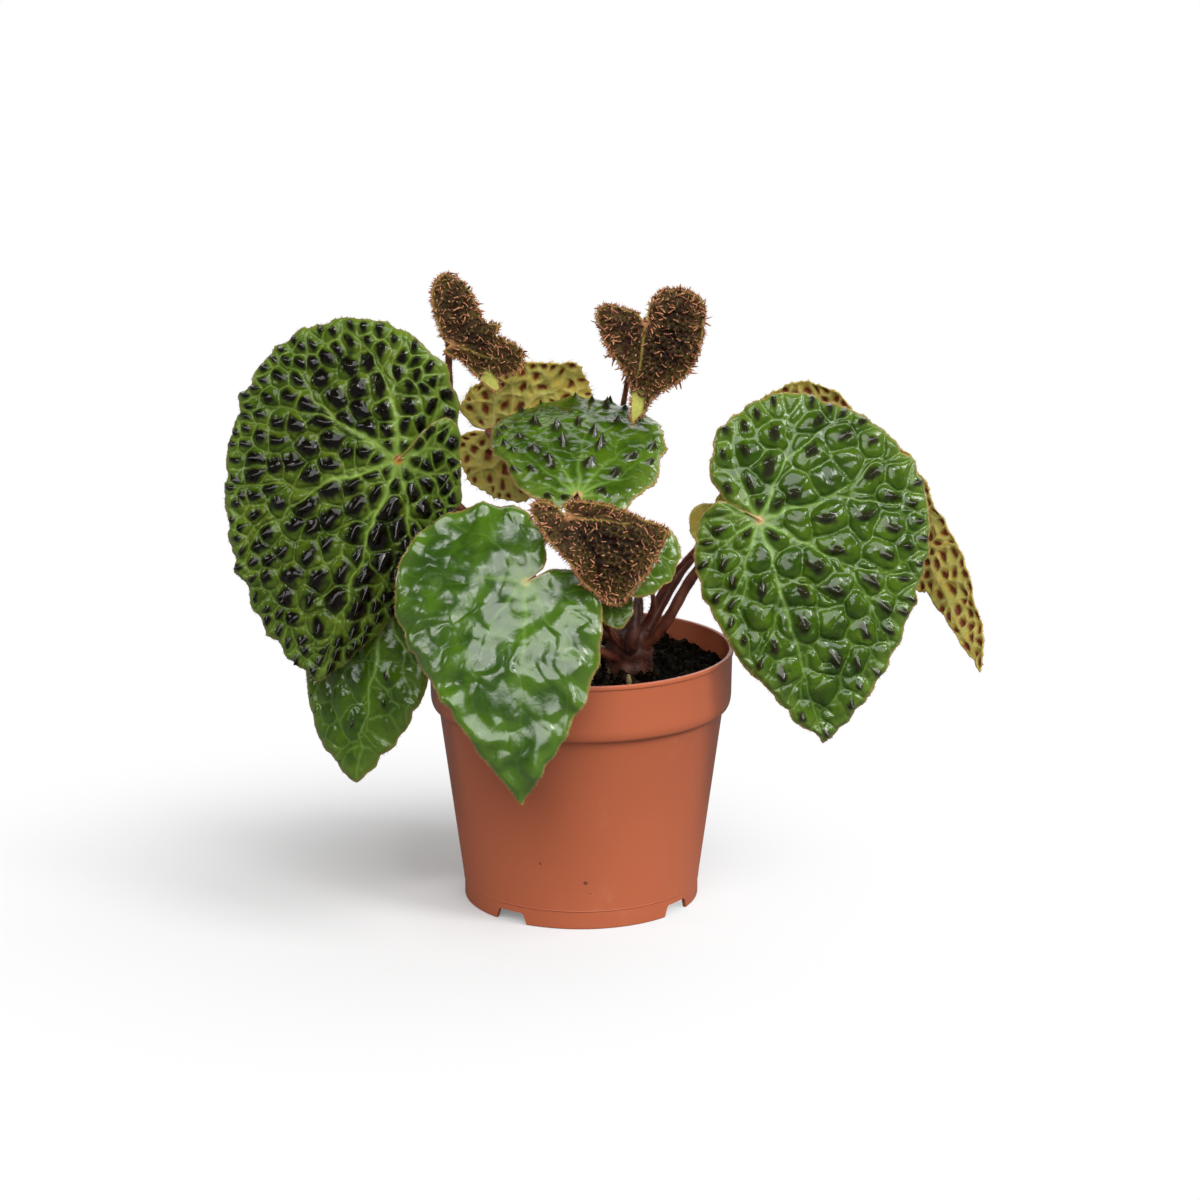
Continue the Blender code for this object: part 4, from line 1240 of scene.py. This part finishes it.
def grow_bristles(piece, leaf, sheet, seed):
    """One bent, tapering bristle from each blister, but none on the pale tip."""
    rng, centres = sheet["rng"], sheet["centres"]
    brown = pale_share(leaf, centres) < 0.5
    centres, lift = centres[brown], sheet["lift"][brown]
    roots = stand(leaf, centres, lift)
    ahead = stand(leaf, centres + (0.5, 0), lift) - roots
    aside = stand(leaf, centres + (0, 0.5), lift) - roots
    normals = np.cross(ahead, aside) * leaf.wide_side
    normals /= np.linalg.norm(normals, axis=1)[:, None]
    outwards = centres / np.maximum(np.linalg.norm(centres, axis=1), 1)[:, None] + (0.5, 0)
    lean = (outwards[:, :1] * ahead + outwards[:, 1:] * aside) * 2
    count = len(centres)
    directions = 0.7 * normals + lean + rng.normal(scale=0.5, size=(count, 3))
    lengths = leaf.bristle * rng.uniform(0.6, 1.2, count)
    points, triangles, share = coat(
        roots - 0.4 * normals, directions, lengths, BRISTLE_RADIUS,
        sides=5, steps=7, sag=1.1, taper=0.3, seed=seed,
    )
    tone = per_hair(rng.uniform(0, 1, count), points)
    piece.add(points, triangles, hair=0.02 + 0.98 * share, tone=tone)


def grow_leaf(leaf, seed):
    piece = Piece(f"leaf_{leaf.name}")
    sheet = grow_sheet(piece, leaf, seed)
    grow_fringe(piece, leaf, sheet, seed)
    if leaf.bristle:
        grow_bristles(piece, leaf, sheet, seed)
    return piece.done(LEAF_FINISHES[leaf.finish], leaf.finish, f"blade_{leaf.name}")


for number, leaf in enumerate(LEAVES):
    grow_leaf(leaf, seed=11 + number)

# %% [markdown]
# ## Stalks
#
# A petiole is a fleshy red stalk with a coat of short hairs. Its route passes through a few
# given points; a smooth curve joins them, and a ring of points follows that curve without
# twisting. The hairs stand out from its sides.

# %% Stalks along a smooth curve
RHIZOME_CENTRE = np.array([19.0, -5.0, 99.0])
RHIZOME_SIZE = np.array([9.0, 8.0, 16.0])
STALK_SIDES = 14
STALK_STEP = 1.2


def smooth_line(knots, step):
    """Evenly spaced points on a smooth curve through the knots."""
    knots = np.array(knots, float)
    padded = np.vstack([2 * knots[0] - knots[1], knots, 2 * knots[-1] - knots[-2]])
    t = np.linspace(0, 1, 24, endpoint=False)[:, None]
    line = []
    for p0, p1, p2, p3 in zip(padded, padded[1:], padded[2:], padded[3:]):
        m1, m2 = (p2 - p0) / 2, (p3 - p1) / 2
        line.append(
            (2 * t**3 - 3 * t**2 + 1) * p1
            + (t**3 - 2 * t**2 + t) * m1
            + (3 * t**2 - 2 * t**3) * p2
            + (t**3 - t**2) * m2
        )
    return along(np.vstack([*line, knots[-1:]]), step)


def tube(line, radii, sides):
    """Rings of points round a line, the triangles between them, and each point's outward way."""
    ahead = np.gradient(line, axis=0)
    ahead /= np.linalg.norm(ahead, axis=1)[:, None]
    across = np.cross(ahead[0], (0.3, 0.9, 0.1))
    rings = []
    for way in ahead:
        across = across - way * (across @ way)
        across = across / np.linalg.norm(across)
        other = np.cross(way, across)
        turn = np.arange(sides) * math.tau / sides
        rings.append(np.cos(turn)[:, None] * across + np.sin(turn)[:, None] * other)
    outwards = np.concatenate(rings)
    points = np.repeat(line, sides, axis=0) + outwards * np.repeat(radii, sides)[:, None]
    triangles = []
    for ring in range(len(line) - 1):
        for side in range(sides):
            a = ring * sides + side
            b = ring * sides + (side + 1) % sides
            triangles += [(a, b, b + sides), (a, b + sides, a + sides)]
    last = (len(line) - 1) * sides
    triangles += [(0, side + 1, side) for side in range(1, sides - 1)]
    triangles += [(last, last + side, last + side + 1) for side in range(1, sides - 1)]
    return points, np.array(triangles), outwards


# %% [markdown]
# The stalks' finish is a brown red with paler streaks and paler tips to its hairs.

# %% Stalk finish
def stalk_finish(name, red, pale, hair, hair_tip):
    finish = Finish(name, Specular_IOR_Level=0.45)
    streaks = finish.speckle(220, detail=3)
    skin = finish.blend(finish.step(streaks, 0.35, 0.75), red, pale)
    share = finish.mask("hair")
    fuzz = finish.blend(finish.step(share, 0.4, 1.0), hair, hair_tip)
    colour = finish.blend(share > 0.001, skin, fuzz)
    return finish.shine(colour, streaks * 0.2 + 0.35, bump=streaks, bump_depth=0.0003)


STALK_RED = stalk_finish(
    "stalk_red", red=(0.1, 0.022, 0.012), pale=(0.2, 0.06, 0.03),
    hair=(0.2, 0.05, 0.03), hair_tip=(0.42, 0.26, 0.18),
)


# %% Growing the stalks
def hairy(piece, points, outwards, count, length, seed, radius=0.07):
    """Adds hairs that stand out from random places of a surface."""
    rng = np.random.default_rng(seed)
    pick = rng.integers(0, len(points), count)
    spread = rng.normal(scale=0.35, size=(count, 3))
    roots = points[pick] + rng.normal(scale=0.15, size=(count, 3)) - 0.15 * outwards[pick]
    lengths = length * rng.uniform(0.4, 1.2, count)
    hair_points, triangles, share = coat(roots, outwards[pick] + spread, lengths, radius, seed=seed)
    piece.add(hair_points, triangles, hair=0.02 + 0.98 * share)


def grow_stalk(leaf, seed):
    straight = 3 * leaf.stalk_radius
    junction, normal = np.array(leaf.junction, float), blade_frame(leaf)[2]
    foot = np.array([RHIZOME_CENTRE[0], RHIZOME_CENTRE[1], leaf.bud_height])
    first = np.array(leaf.route[0], float)
    away = (first - foot) * (1, 1, 0)
    root = foot + away / np.linalg.norm(away) * 5
    knots = [root, *leaf.route, junction - normal * straight, junction - 0.2 * normal]
    line = smooth_line(knots, STALK_STEP)
    share = np.linspace(0, 1, len(line))
    radii = leaf.stalk_radius * (1 - 0.25 * share + 0.04 * np.sin(np.arange(len(line)) * 0.9))
    if leaf.sheath:
        radii = radii * (1 + 0.9 * np.exp(-(((line[:, 2] - leaf.sheath) / 11) ** 2)))
    points, triangles, outwards = tube(line, radii, STALK_SIDES)
    piece = Piece(f"stalk_{leaf.name}")
    piece.add(points, triangles)
    hairy(piece, points, outwards, int(len(line) * 8), 1.3, seed)
    return piece.done(STALK_RED, "stem_red", f"petiole_{leaf.name}")


for number, leaf in enumerate(LEAVES):
    grow_stalk(leaf, seed=51 + number)

# %% [markdown]
# ## Rhizome and stipules
#
# The rhizome is the plant's short woody stem. Old leaves have left rings on it, and papery
# pointed scales called stipules still cling to it.

# %% Rhizome
BARK = stalk_finish(
    "rhizome_bark", red=(0.05, 0.014, 0.01), pale=(0.14, 0.05, 0.03),
    hair=(0.16, 0.05, 0.04), hair_tip=(0.5, 0.32, 0.25),
)


def globe(columns, rows):
    """Points and triangles of a unit sphere."""
    up = np.linspace(-math.pi / 2, math.pi / 2, rows + 1)[1:-1]
    turn = np.arange(columns) * math.tau / columns
    circle = np.stack([np.cos(turn), np.sin(turn)], 1)
    rings = [np.column_stack([np.cos(u) * circle, np.full(columns, np.sin(u))]) for u in up]
    points = np.vstack([*rings, [[0, 0, -1]], [[0, 0, 1]]])
    triangles = []
    for row in range(len(up) - 1):
        for column in range(columns):
            a = row * columns + column
            b = row * columns + (column + 1) % columns
            triangles += [(a, b, b + columns), (a, b + columns, a + columns)]
    south, north, last = len(points) - 2, len(points) - 1, (len(up) - 1) * columns
    for column in range(columns):
        after = (column + 1) % columns
        triangles += [(south, after, column), (north, last + column, last + after)]
    return points, np.array(triangles)


def grow_rhizome():
    points, triangles = globe(60, 60)
    rings = 1 + 0.05 * np.sin(points[:, 2] * 14)
    knots = np.array([noise.noise(Vector(p) * 3.0) for p in points])
    swell = (rings * (1 + 0.08 * knots))[:, None]
    shaped = RHIZOME_CENTRE + points * RHIZOME_SIZE * swell
    piece = Piece("rhizome_stem")
    piece.add(shaped, triangles)
    high = shaped[:, 2] > 93
    hairy(piece, shaped[high], points[high], 900, 1.8, 3, radius=0.09)
    return piece.done(BARK, "bark", "rhizome")


STIPULES = {
    "stipule_front": ((19, -8, 100), (20, -16, 108), (22, -14, 124)),
    "stipule_back": ((20, 2, 106), (22, 8, 112), (23, 10, 121)),
}


def grow_stipule(name, knots, seed):
    line = smooth_line(knots, 0.6)
    share = np.linspace(0, 1, len(line))
    radii = 2.9 * np.sqrt(np.clip(1 - share**2.2, 0.002, 1))
    points, triangles, outwards = tube(line, radii, 16)
    piece = Piece(f"scale_{name}")
    piece.add(points, triangles)
    hairy(piece, points, outwards, 420, 1.8, seed, radius=0.08)
    return piece.done(BARK, "bark", name)


grow_rhizome()
for number, (name, knots) in enumerate(STIPULES.items()):
    grow_stipule(name, knots, 80 + number)

# %% [markdown]
# ## Soil
#
# Peat is dark, matt and crumbly. Its top is a disc pushed up and down by noise of several
# sizes, with loose crumbs, a few pale fibres, and the grains and the chip that the frame has.

# %% Peat
SOIL_TOP = 92.0
SOIL_RADIUS = RIM_RADIUS - 2.9
SOIL_RINGS = 70
SOIL_SPOKES = 220
# (radius, height) down the side of the plug, just inside the pot.
SOIL_SIDE = ((SOIL_RADIUS - 0.4, 82.0), (54.0, 79.0), (45.2, 8.0), (45.0, 7.0))


def peat_finish():
    finish = Finish("peat", Specular_IOR_Level=0.02)
    tone = finish.mask("tone")
    fine = finish.speckle(900, detail=4, roughness=0.7)
    wet, dry = (0.0008, 0.0006, 0.0004), (0.0045, 0.003, 0.002)
    dark = finish.blend(finish.step(fine, 0.4, 0.7), wet, dry)
    brown = finish.blend(tone, dark, (0.32, 0.24, 0.13))
    return finish.shine(brown, fine * 0.3 + 0.6, bump=fine, bump_depth=0.0006)


PEAT = peat_finish()


def peat_height(x, y):
    lumps = 1.2 * noise.noise(Vector((x * 0.09, y * 0.09, 1)))
    clods = 1.1 * noise.noise(Vector((x * 0.35, y * 0.35, 2)))
    crumbs = 0.7 * noise.noise(Vector((x * 1.1, y * 1.1, 3)))
    return SOIL_TOP + 0.5 + lumps + clods + crumbs


def soil_body():
    """Triangles of the plug: its crumbly top, its side and its underside."""
    turn = np.arange(SOIL_SPOKES) * math.tau / SOIL_SPOKES
    circle = np.stack([np.cos(turn), np.sin(turn)], 1)
    levels = [(SOIL_RADIUS * math.sqrt(i / SOIL_RINGS), None) for i in range(1, SOIL_RINGS + 1)]
    levels += SOIL_SIDE
    points = [(0.0, 0.0, peat_height(0, 0))]
    for radius, height in levels:
        for x, y in circle * radius:
            points.append((x, y, peat_height(x, y) if height is None else height))
    points.append((0.0, 0.0, SOIL_SIDE[-1][1]))
    spokes, triangles = SOIL_SPOKES, []
    for spoke in range(spokes):
        after = (spoke + 1) % spokes
        triangles.append((0, 1 + spoke, 1 + after))
        for level in range(len(levels) - 1):
            a, b = 1 + level * spokes + spoke, 1 + level * spokes + after
            triangles += [(a, a + spokes, b + spokes), (a, b + spokes, b)]
        last = 1 + (len(levels) - 1) * spokes
        triangles.append((last + spoke, len(points) - 1, last + after))
    return np.array(points), np.array(triangles)


# %% Crumbs and fibres
CRUMBS = 900
FIBRES = 160


def grow_soil():
    piece = Piece("peat_soil")
    points, triangles = soil_body()
    piece.add(points, triangles)
    rng = np.random.default_rng(5)
    ball, faces = globe(7, 5)
    for _ in range(CRUMBS):
        distance = SOIL_RADIUS * math.sqrt(rng.uniform(0, 0.97))
        turn = rng.uniform(0, math.tau)
        x, y = distance * math.cos(turn), distance * math.sin(turn)
        size = rng.uniform(0.4, 1.0) ** 2 * 2.2
        shape = ball * size * rng.uniform(0.5, 1.2, 3) * rng.uniform(0.7, 1.3, (len(ball), 1))
        pale = rng.uniform() < 0.03
        tone = rng.uniform(0.3, 0.9) if pale else rng.uniform(0, 0.06)
        lift = peat_height(x, y) + 0.2 * size
        piece.add(shape + (x, y, lift), faces, tone=tone)
    turn = rng.uniform(0, math.tau, FIBRES)
    distance = SOIL_RADIUS * np.sqrt(rng.uniform(0, 0.9, FIBRES))
    roots = np.stack([distance * np.cos(turn), distance * np.sin(turn)], 1)
    roots = np.array([(x, y, peat_height(x, y) + 0.5) for x, y in roots])
    ways = rng.normal(size=(FIBRES, 3)) * (1, 1, 0.15)
    fibres, faces, _ = coat(roots, ways, rng.uniform(1.5, 5, FIBRES), 0.16, sag=0.6, seed=6)
    piece.add(fibres, faces, tone=np.repeat(rng.uniform(0.1, 0.7, FIBRES), len(fibres) // FIBRES))
    return piece.done(PEAT, "soil", "soil")


grow_soil()

# %% [markdown]
# The loose grains stay where the frame has them, so each piece takes its place and size from its
# node's box. Perlite is a pale foamed glass with a pitted, rounded surface.

# %% Grains and the chip
def perlite_finish():
    finish = Finish("perlite_grain", Specular_IOR_Level=0.3)
    pits = finish.speckle(1800, detail=3)
    colour = finish.blend(finish.step(pits, 0.3, 0.7), (0.3, 0.26, 0.16), (0.62, 0.58, 0.42))
    return finish.shine(colour, 0.8, bump=pits, bump_depth=0.0004)


PERLITE = perlite_finish()


def grow_grain(node, flatness, seed):
    low, high = (np.array(corner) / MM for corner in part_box(node))
    centre = (low + high) / 2 - np.array(AXIS) / MM
    half = (high - low) / 2
    points, triangles = globe(18, 14)
    pits = np.array([noise.noise(Vector(p) * 2.5 + Vector((seed, 0, 0))) for p in points])
    curl = np.stack([0 * pits, 0 * pits, flatness * points[:, 0] ** 2], 1)
    piece = Piece(f"grain_{node}")
    piece.add(centre + (points * (0.85 + 0.35 * pits)[:, None] + curl) * half, triangles)
    return piece.done(PERLITE, "perlite", node)


for number, node in enumerate(("perlite_front", "perlite_right", "perlite_left", "perlite_back")):
    grow_grain(node, 0, number)
grow_grain("bark_chip", 0.5, 9)

# %% [markdown]
# ## Pot
#
# The pot is injection moulded: a thin wall, a deep band under the rim, a faint line near the
# foot where the mould's two halves met, and a foot with four notches so that water can drain.
# The wall is a profile turned round the axis with finely rounded corners, and the notches and
# drain holes are cut by Booleans.

# %% Turning the profile
POT_STEPS = 200
CORNER_STEPS = 4
POT_WALL = 1.2
FOOT_RADIUS = 46.8
FOOT_WALL = 1.8
FOOT_HEIGHT = 5.4
FLOOR_TOP = FOOT_HEIGHT + POT_WALL
MOULD_LINE = 7.4
WALL_TOP_RADIUS = 56.2
BAND_BOTTOM = 78.3
BAND_RADIUS = 59.2
INNER_STEP = 79.9

# (radius, height, rounding) from the axis out under the floor, up the outside and down inside.
POT_PROFILE = (
    (0, FOOT_HEIGHT, 0), (FOOT_RADIUS - FOOT_WALL, FOOT_HEIGHT, 0.5),
    (FOOT_RADIUS - FOOT_WALL, 0, 0.4), (FOOT_RADIUS - 0.25, 0, 0.6),
    (FOOT_RADIUS - 0.22, MOULD_LINE - 0.3, 0.15), (FOOT_RADIUS + 0.12, MOULD_LINE, 0.1),
    (FOOT_RADIUS + 0.02, MOULD_LINE + 0.25, 0.1), (WALL_TOP_RADIUS, BAND_BOTTOM, 0.8),
    (BAND_RADIUS - 0.9, BAND_BOTTOM + 0.1, 1.2), (BAND_RADIUS + 0.05, BAND_BOTTOM + 3, 2.0),
    (RIM_RADIUS - 0.45, POT_HEIGHT - 1.9, 0.2), (RIM_RADIUS, POT_HEIGHT - 1.5, 0.2),
    (RIM_RADIUS, POT_HEIGHT, 0.4), (RIM_RADIUS - POT_WALL - 0.5, POT_HEIGHT, 0.4),
    (BAND_RADIUS - POT_WALL, INNER_STEP, 0.6), (WALL_TOP_RADIUS - POT_WALL + 0.2, INNER_STEP, 0.6),
    (FOOT_RADIUS - POT_WALL, FLOOR_TOP, 0.8), (0, FLOOR_TOP, 0),
)


def rounded(profile):
    """The profile with each corner replaced by a short arc-like curve."""
    found = []
    for index, (radius, height, rounding) in enumerate(profile):
        corner = np.array([radius, height])
        if not rounding:
            found.append(corner)
            continue
        before = np.array(profile[index - 1][:2]) - corner
        after = np.array(profile[index + 1][:2]) - corner
        start = corner + before * min(rounding / np.linalg.norm(before), 0.45)
        end = corner + after * min(rounding / np.linalg.norm(after), 0.45)
        for t in np.linspace(0, 1, CORNER_STEPS):
            found.append((1 - t) ** 2 * start + 2 * t * (1 - t) * corner + t**2 * end)
    return found


def turn_profile(name, profile):
    """A closed mesh made by turning a profile that starts and ends on the axis."""
    turn = np.arange(POT_STEPS) * math.tau / POT_STEPS
    rim = profile[1:-1]
    points = [(0, 0, profile[0][1]), (0, 0, profile[-1][1])]
    for radius, height in rim:
        points += [(radius * math.cos(t), radius * math.sin(t), height) for t in turn]
    faces = []
    for step in range(POT_STEPS):
        after = (step + 1) % POT_STEPS
        faces.append((0, 2 + after, 2 + step))
        last = 2 + (len(rim) - 1) * POT_STEPS
        faces.append((1, last + step, last + after))
        for level in range(len(rim) - 1):
            a, b = 2 + level * POT_STEPS + step, 2 + level * POT_STEPS + after
            faces.append((a, b, b + POT_STEPS, a + POT_STEPS))
    mesh = bpy.data.meshes.new(name)
    mesh.from_pydata([Vector(p) * MM for p in points], [], faces)
    return mesh


# %% Cutting the notches and drain holes
NOTCH_ANGLES = (54, 144, 234, 324)
NOTCH_TOP = 4.6
NOTCH_WIDTH = 12
NOTCH_FLARE = 3
NOTCH_CORNER = 0.8
DRAIN_HOLES = 8
DRAIN_RADIUS = 4
DRAIN_CIRCLE = 33
DRAIN_SIDES = 32


def notch_cutter(angle):
    """A wedge through the foot, wider at the floor, with a softly rounded top."""
    turn = Matrix.Rotation(math.radians(angle - 90), 4, "Z")
    half = NOTCH_WIDTH / 2
    side = [(-half - NOTCH_FLARE, -NOTCH_TOP), (half + NOTCH_FLARE, -NOTCH_TOP)]
    side += [(half, NOTCH_TOP - NOTCH_CORNER), (half - NOTCH_CORNER, NOTCH_TOP)]
    side += [(NOTCH_CORNER - half, NOTCH_TOP), (-half, NOTCH_TOP - NOTCH_CORNER)]
    points = []
    for radius in (FOOT_RADIUS - 5, FOOT_RADIUS + 2):
        points += [turn @ Vector((radius, across, height)) * MM for across, height in side]
    size = len(side)
    faces = [tuple(range(size - 1, -1, -1)), tuple(range(size, 2 * size))]
    faces += [(i, (i + 1) % size, size + (i + 1) % size, size + i) for i in range(size)]
    mesh = bpy.data.meshes.new("notch_cutter")
    mesh.from_pydata(points, [], faces)
    return mesh


def drain_cutter(angle):
    centre = Vector((math.cos(angle) * DRAIN_CIRCLE, math.sin(angle) * DRAIN_CIRCLE, 0))
    size = DRAIN_SIDES
    turn = np.arange(size) * math.tau / size
    points = []
    for height in (FOOT_HEIGHT - 2, FLOOR_TOP + 2):
        for t in turn:
            corner = Vector((math.cos(t) * DRAIN_RADIUS, math.sin(t) * DRAIN_RADIUS, height))
            points.append((centre + corner) * MM)
    faces = [tuple(range(size - 1, -1, -1)), tuple(range(size, 2 * size))]
    faces += [(i, (i + 1) % size, size + (i + 1) % size, size + i) for i in range(size)]
    mesh = bpy.data.meshes.new("drain_cutter")
    mesh.from_pydata(points, [], faces)
    return mesh


# %% [markdown]
# The plastic is satin, not glossy, in a terracotta colour that varies very little. Handling has
# left a few dark specks and dull scuffs.

# %% Satin plastic
def plastic_finish():
    finish = Finish("terracotta_plastic", Specular_IOR_Level=0.5)
    clouds = finish.speckle(14, detail=3)
    grain = finish.speckle(2600, detail=2)
    specks = finish.step(finish.speckle(240, detail=1), 0.79, 0.82)
    scuffs = finish.step(finish.speckle(60, detail=5, roughness=0.7), 0.6, 0.8)
    body = finish.blend(clouds, (0.4, 0.096, 0.038), (0.47, 0.12, 0.05))
    worn = finish.blend(scuffs * 0.25, body, (0.58, 0.24, 0.14))
    colour = finish.blend(specks * 0.7, worn, (0.05, 0.02, 0.015))
    roughness = clouds * 0.1 + scuffs * 0.1 + grain * 0.06 + 0.36
    return finish.shine(colour, roughness, bump=grain, bump_depth=0.00004)


def grow_pot():
    mesh = turn_profile("nursery_pot", rounded(POT_PROFILE))
    mesh.materials.append(plastic_finish())
    pot = bpy.data.objects.new("nursery_pot", mesh)
    pot.location = AXIS
    bpy.context.scene.collection.objects.link(pot)
    cutters = [notch_cutter(angle) for angle in NOTCH_ANGLES]
    cutters += [drain_cutter(math.tau * hole / DRAIN_HOLES) for hole in range(DRAIN_HOLES)]
    tools = []
    for cutter in cutters:
        tool = bpy.data.objects.new(cutter.name, cutter)
        tool.location = AXIS
        bpy.context.scene.collection.objects.link(tool)
        modifier = pot.modifiers.new("cut", "BOOLEAN")
        modifier.object = tool
        tools.append(tool)
    graph = bpy.context.evaluated_depsgraph_get()
    finished = bpy.data.meshes.new_from_object(pot.evaluated_get(graph))
    pot.modifiers.clear()
    pot.data = finished
    for tool in tools:
        bpy.data.objects.remove(tool)
    finished.shade_smooth()
    finished.set_sharp_from_angle(angle=math.radians(35))
    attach(pot, "root")
    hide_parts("pot")
    print(f"nursery_pot: {len(finished.polygons)} faces")
    return pot


grow_pot()

# %% [markdown]
# ## Studio
#
# The plant stands on a white table under plain soft light: a large soft lamp from the front, a
# smaller one from the right, weak ones from both sides and from the front left, one from behind,
# and a faint glow from all round. Lamps that act from far away keep the table evenly lit. The
# camera looks slightly down from the front. Away from the plant the table turns to plain white
# for the camera, so that it has no visible end.

# %% Floor
FLOOR_HALF = 12
FLOOR_SHIFT = Vector((-0.08, 0.01, 0))
FLOOR_LIT = (0.2, 0.2, 0.2)
FLOOR_SEEN = (0.62, 0.62, 0.62)
WHITE_FROM = 0.01
WHITE_BY = 0.22
LEAST_WHITE = 0.05


def studio_floor():
    mesh = bpy.data.meshes.new("studio_floor")
    corners = [(x * FLOOR_HALF, y * FLOOR_HALF, 0) for x, y in ((-1, -1), (1, -1), (1, 1), (-1, 1))]
    mesh.from_pydata(corners, [], [(0, 1, 2, 3)])
    finish = Finish("studio_white", Specular_IOR_Level=0.0)
    seen = finish.node("ShaderNodeLightPath", {}, {}, output="Is Camera Ray")
    finish.shine(finish.blend(seen, FLOOR_LIT, FLOOR_SEEN), 1.0)
    glow = finish.node("ShaderNodeEmission", {}, {"Color": (1.0, 1.0, 1.0), "Strength": 1.0})
    length = {"operation": "LENGTH"}
    spread = finish.node("ShaderNodeVectorMath", length, {0: finish.place()}, output="Value")
    white = finish.step(spread, WHITE_FROM, WHITE_BY) * (1 - LEAST_WHITE) + LEAST_WHITE
    share = white * seen
    body = Amount(finish, finish.shader.outputs[0])
    mixed = finish.node("ShaderNodeMixShader", {}, {0: share, 1: body, 2: glow})
    finish.plug(mixed, finish.tree.nodes["Material Output"].inputs["Surface"])
    mesh.materials.append(finish.material)
    floor = bpy.data.objects.new("studio_floor", mesh)
    floor.location = AXIS + FLOOR_SHIFT
    bpy.context.scene.collection.objects.link(floor)


studio_floor()


# %% Lamps and world
def soft_lamp(name, strength, spread, azimuth, height):
    """A lamp far away: azimuth in degrees from the front towards the right, then its height."""
    lamp = bpy.data.lights.new(name, "SUN")
    lamp.energy = strength
    lamp.angle = math.radians(spread)
    holder = bpy.data.objects.new(name, lamp)
    holder.rotation_euler = (math.radians(90 - height), 0, math.radians(azimuth))
    bpy.context.scene.collection.objects.link(holder)


soft_lamp("big_lamp", 3.3, 58, 6, 42)
soft_lamp("key_lamp", 1.8, 20, 62, 40)
soft_lamp("left_lamp", 0.6, 20, -80, 24)
soft_lamp("right_lamp", 0.5, 24, 104, 22)
soft_lamp("small_lamp", 0.2, 8, -30, 52)
soft_lamp("back_lamp", 1.2, 60, 176, 26)


def studio_world(light, seen):
    world = bpy.data.worlds.new("studio")
    world.use_nodes = True
    tree = world.node_tree
    tree.nodes.clear()
    path = tree.nodes.new("ShaderNodeLightPath")
    room = tree.nodes.new("ShaderNodeBackground")
    wall = tree.nodes.new("ShaderNodeBackground")
    choice = tree.nodes.new("ShaderNodeMixShader")
    out = tree.nodes.new("ShaderNodeOutputWorld")
    room.inputs["Strength"].default_value = light
    wall.inputs["Strength"].default_value = seen
    for node in (room, wall):
        node.inputs["Color"].default_value = (1, 1, 1, 1)
    tree.links.new(path.outputs["Is Camera Ray"], choice.inputs[0])
    tree.links.new(room.outputs[0], choice.inputs[1])
    tree.links.new(wall.outputs[0], choice.inputs[2])
    tree.links.new(choice.outputs[0], out.inputs["Surface"])
    bpy.context.scene.world = world


studio_world(light=0.06, seen=1.0)
bpy.context.scene.view_settings.view_transform = "Standard"


# %% Camera
CAMERA_BACK = 1160
CAMERA_SIDE = 7.5
CAMERA_HEIGHT = 409
CAMERA_PITCH = 14
CAMERA_LENS = 91.5


def studio_camera():
    camera = bpy.data.cameras.new("studio_camera")
    camera.lens = CAMERA_LENS
    holder = bpy.data.objects.new("studio_camera", camera)
    holder.location = AXIS + Vector((CAMERA_SIDE, -CAMERA_BACK, CAMERA_HEIGHT)) * MM
    holder.rotation_euler = (math.radians(90 - CAMERA_PITCH), 0, 0)
    bpy.context.scene.collection.objects.link(holder)
    bpy.context.scene.camera = holder


studio_camera()

# %% [markdown]
# ## The end
#
# The script ends by saying that the scene is built.

# %% The end
print("scene built")
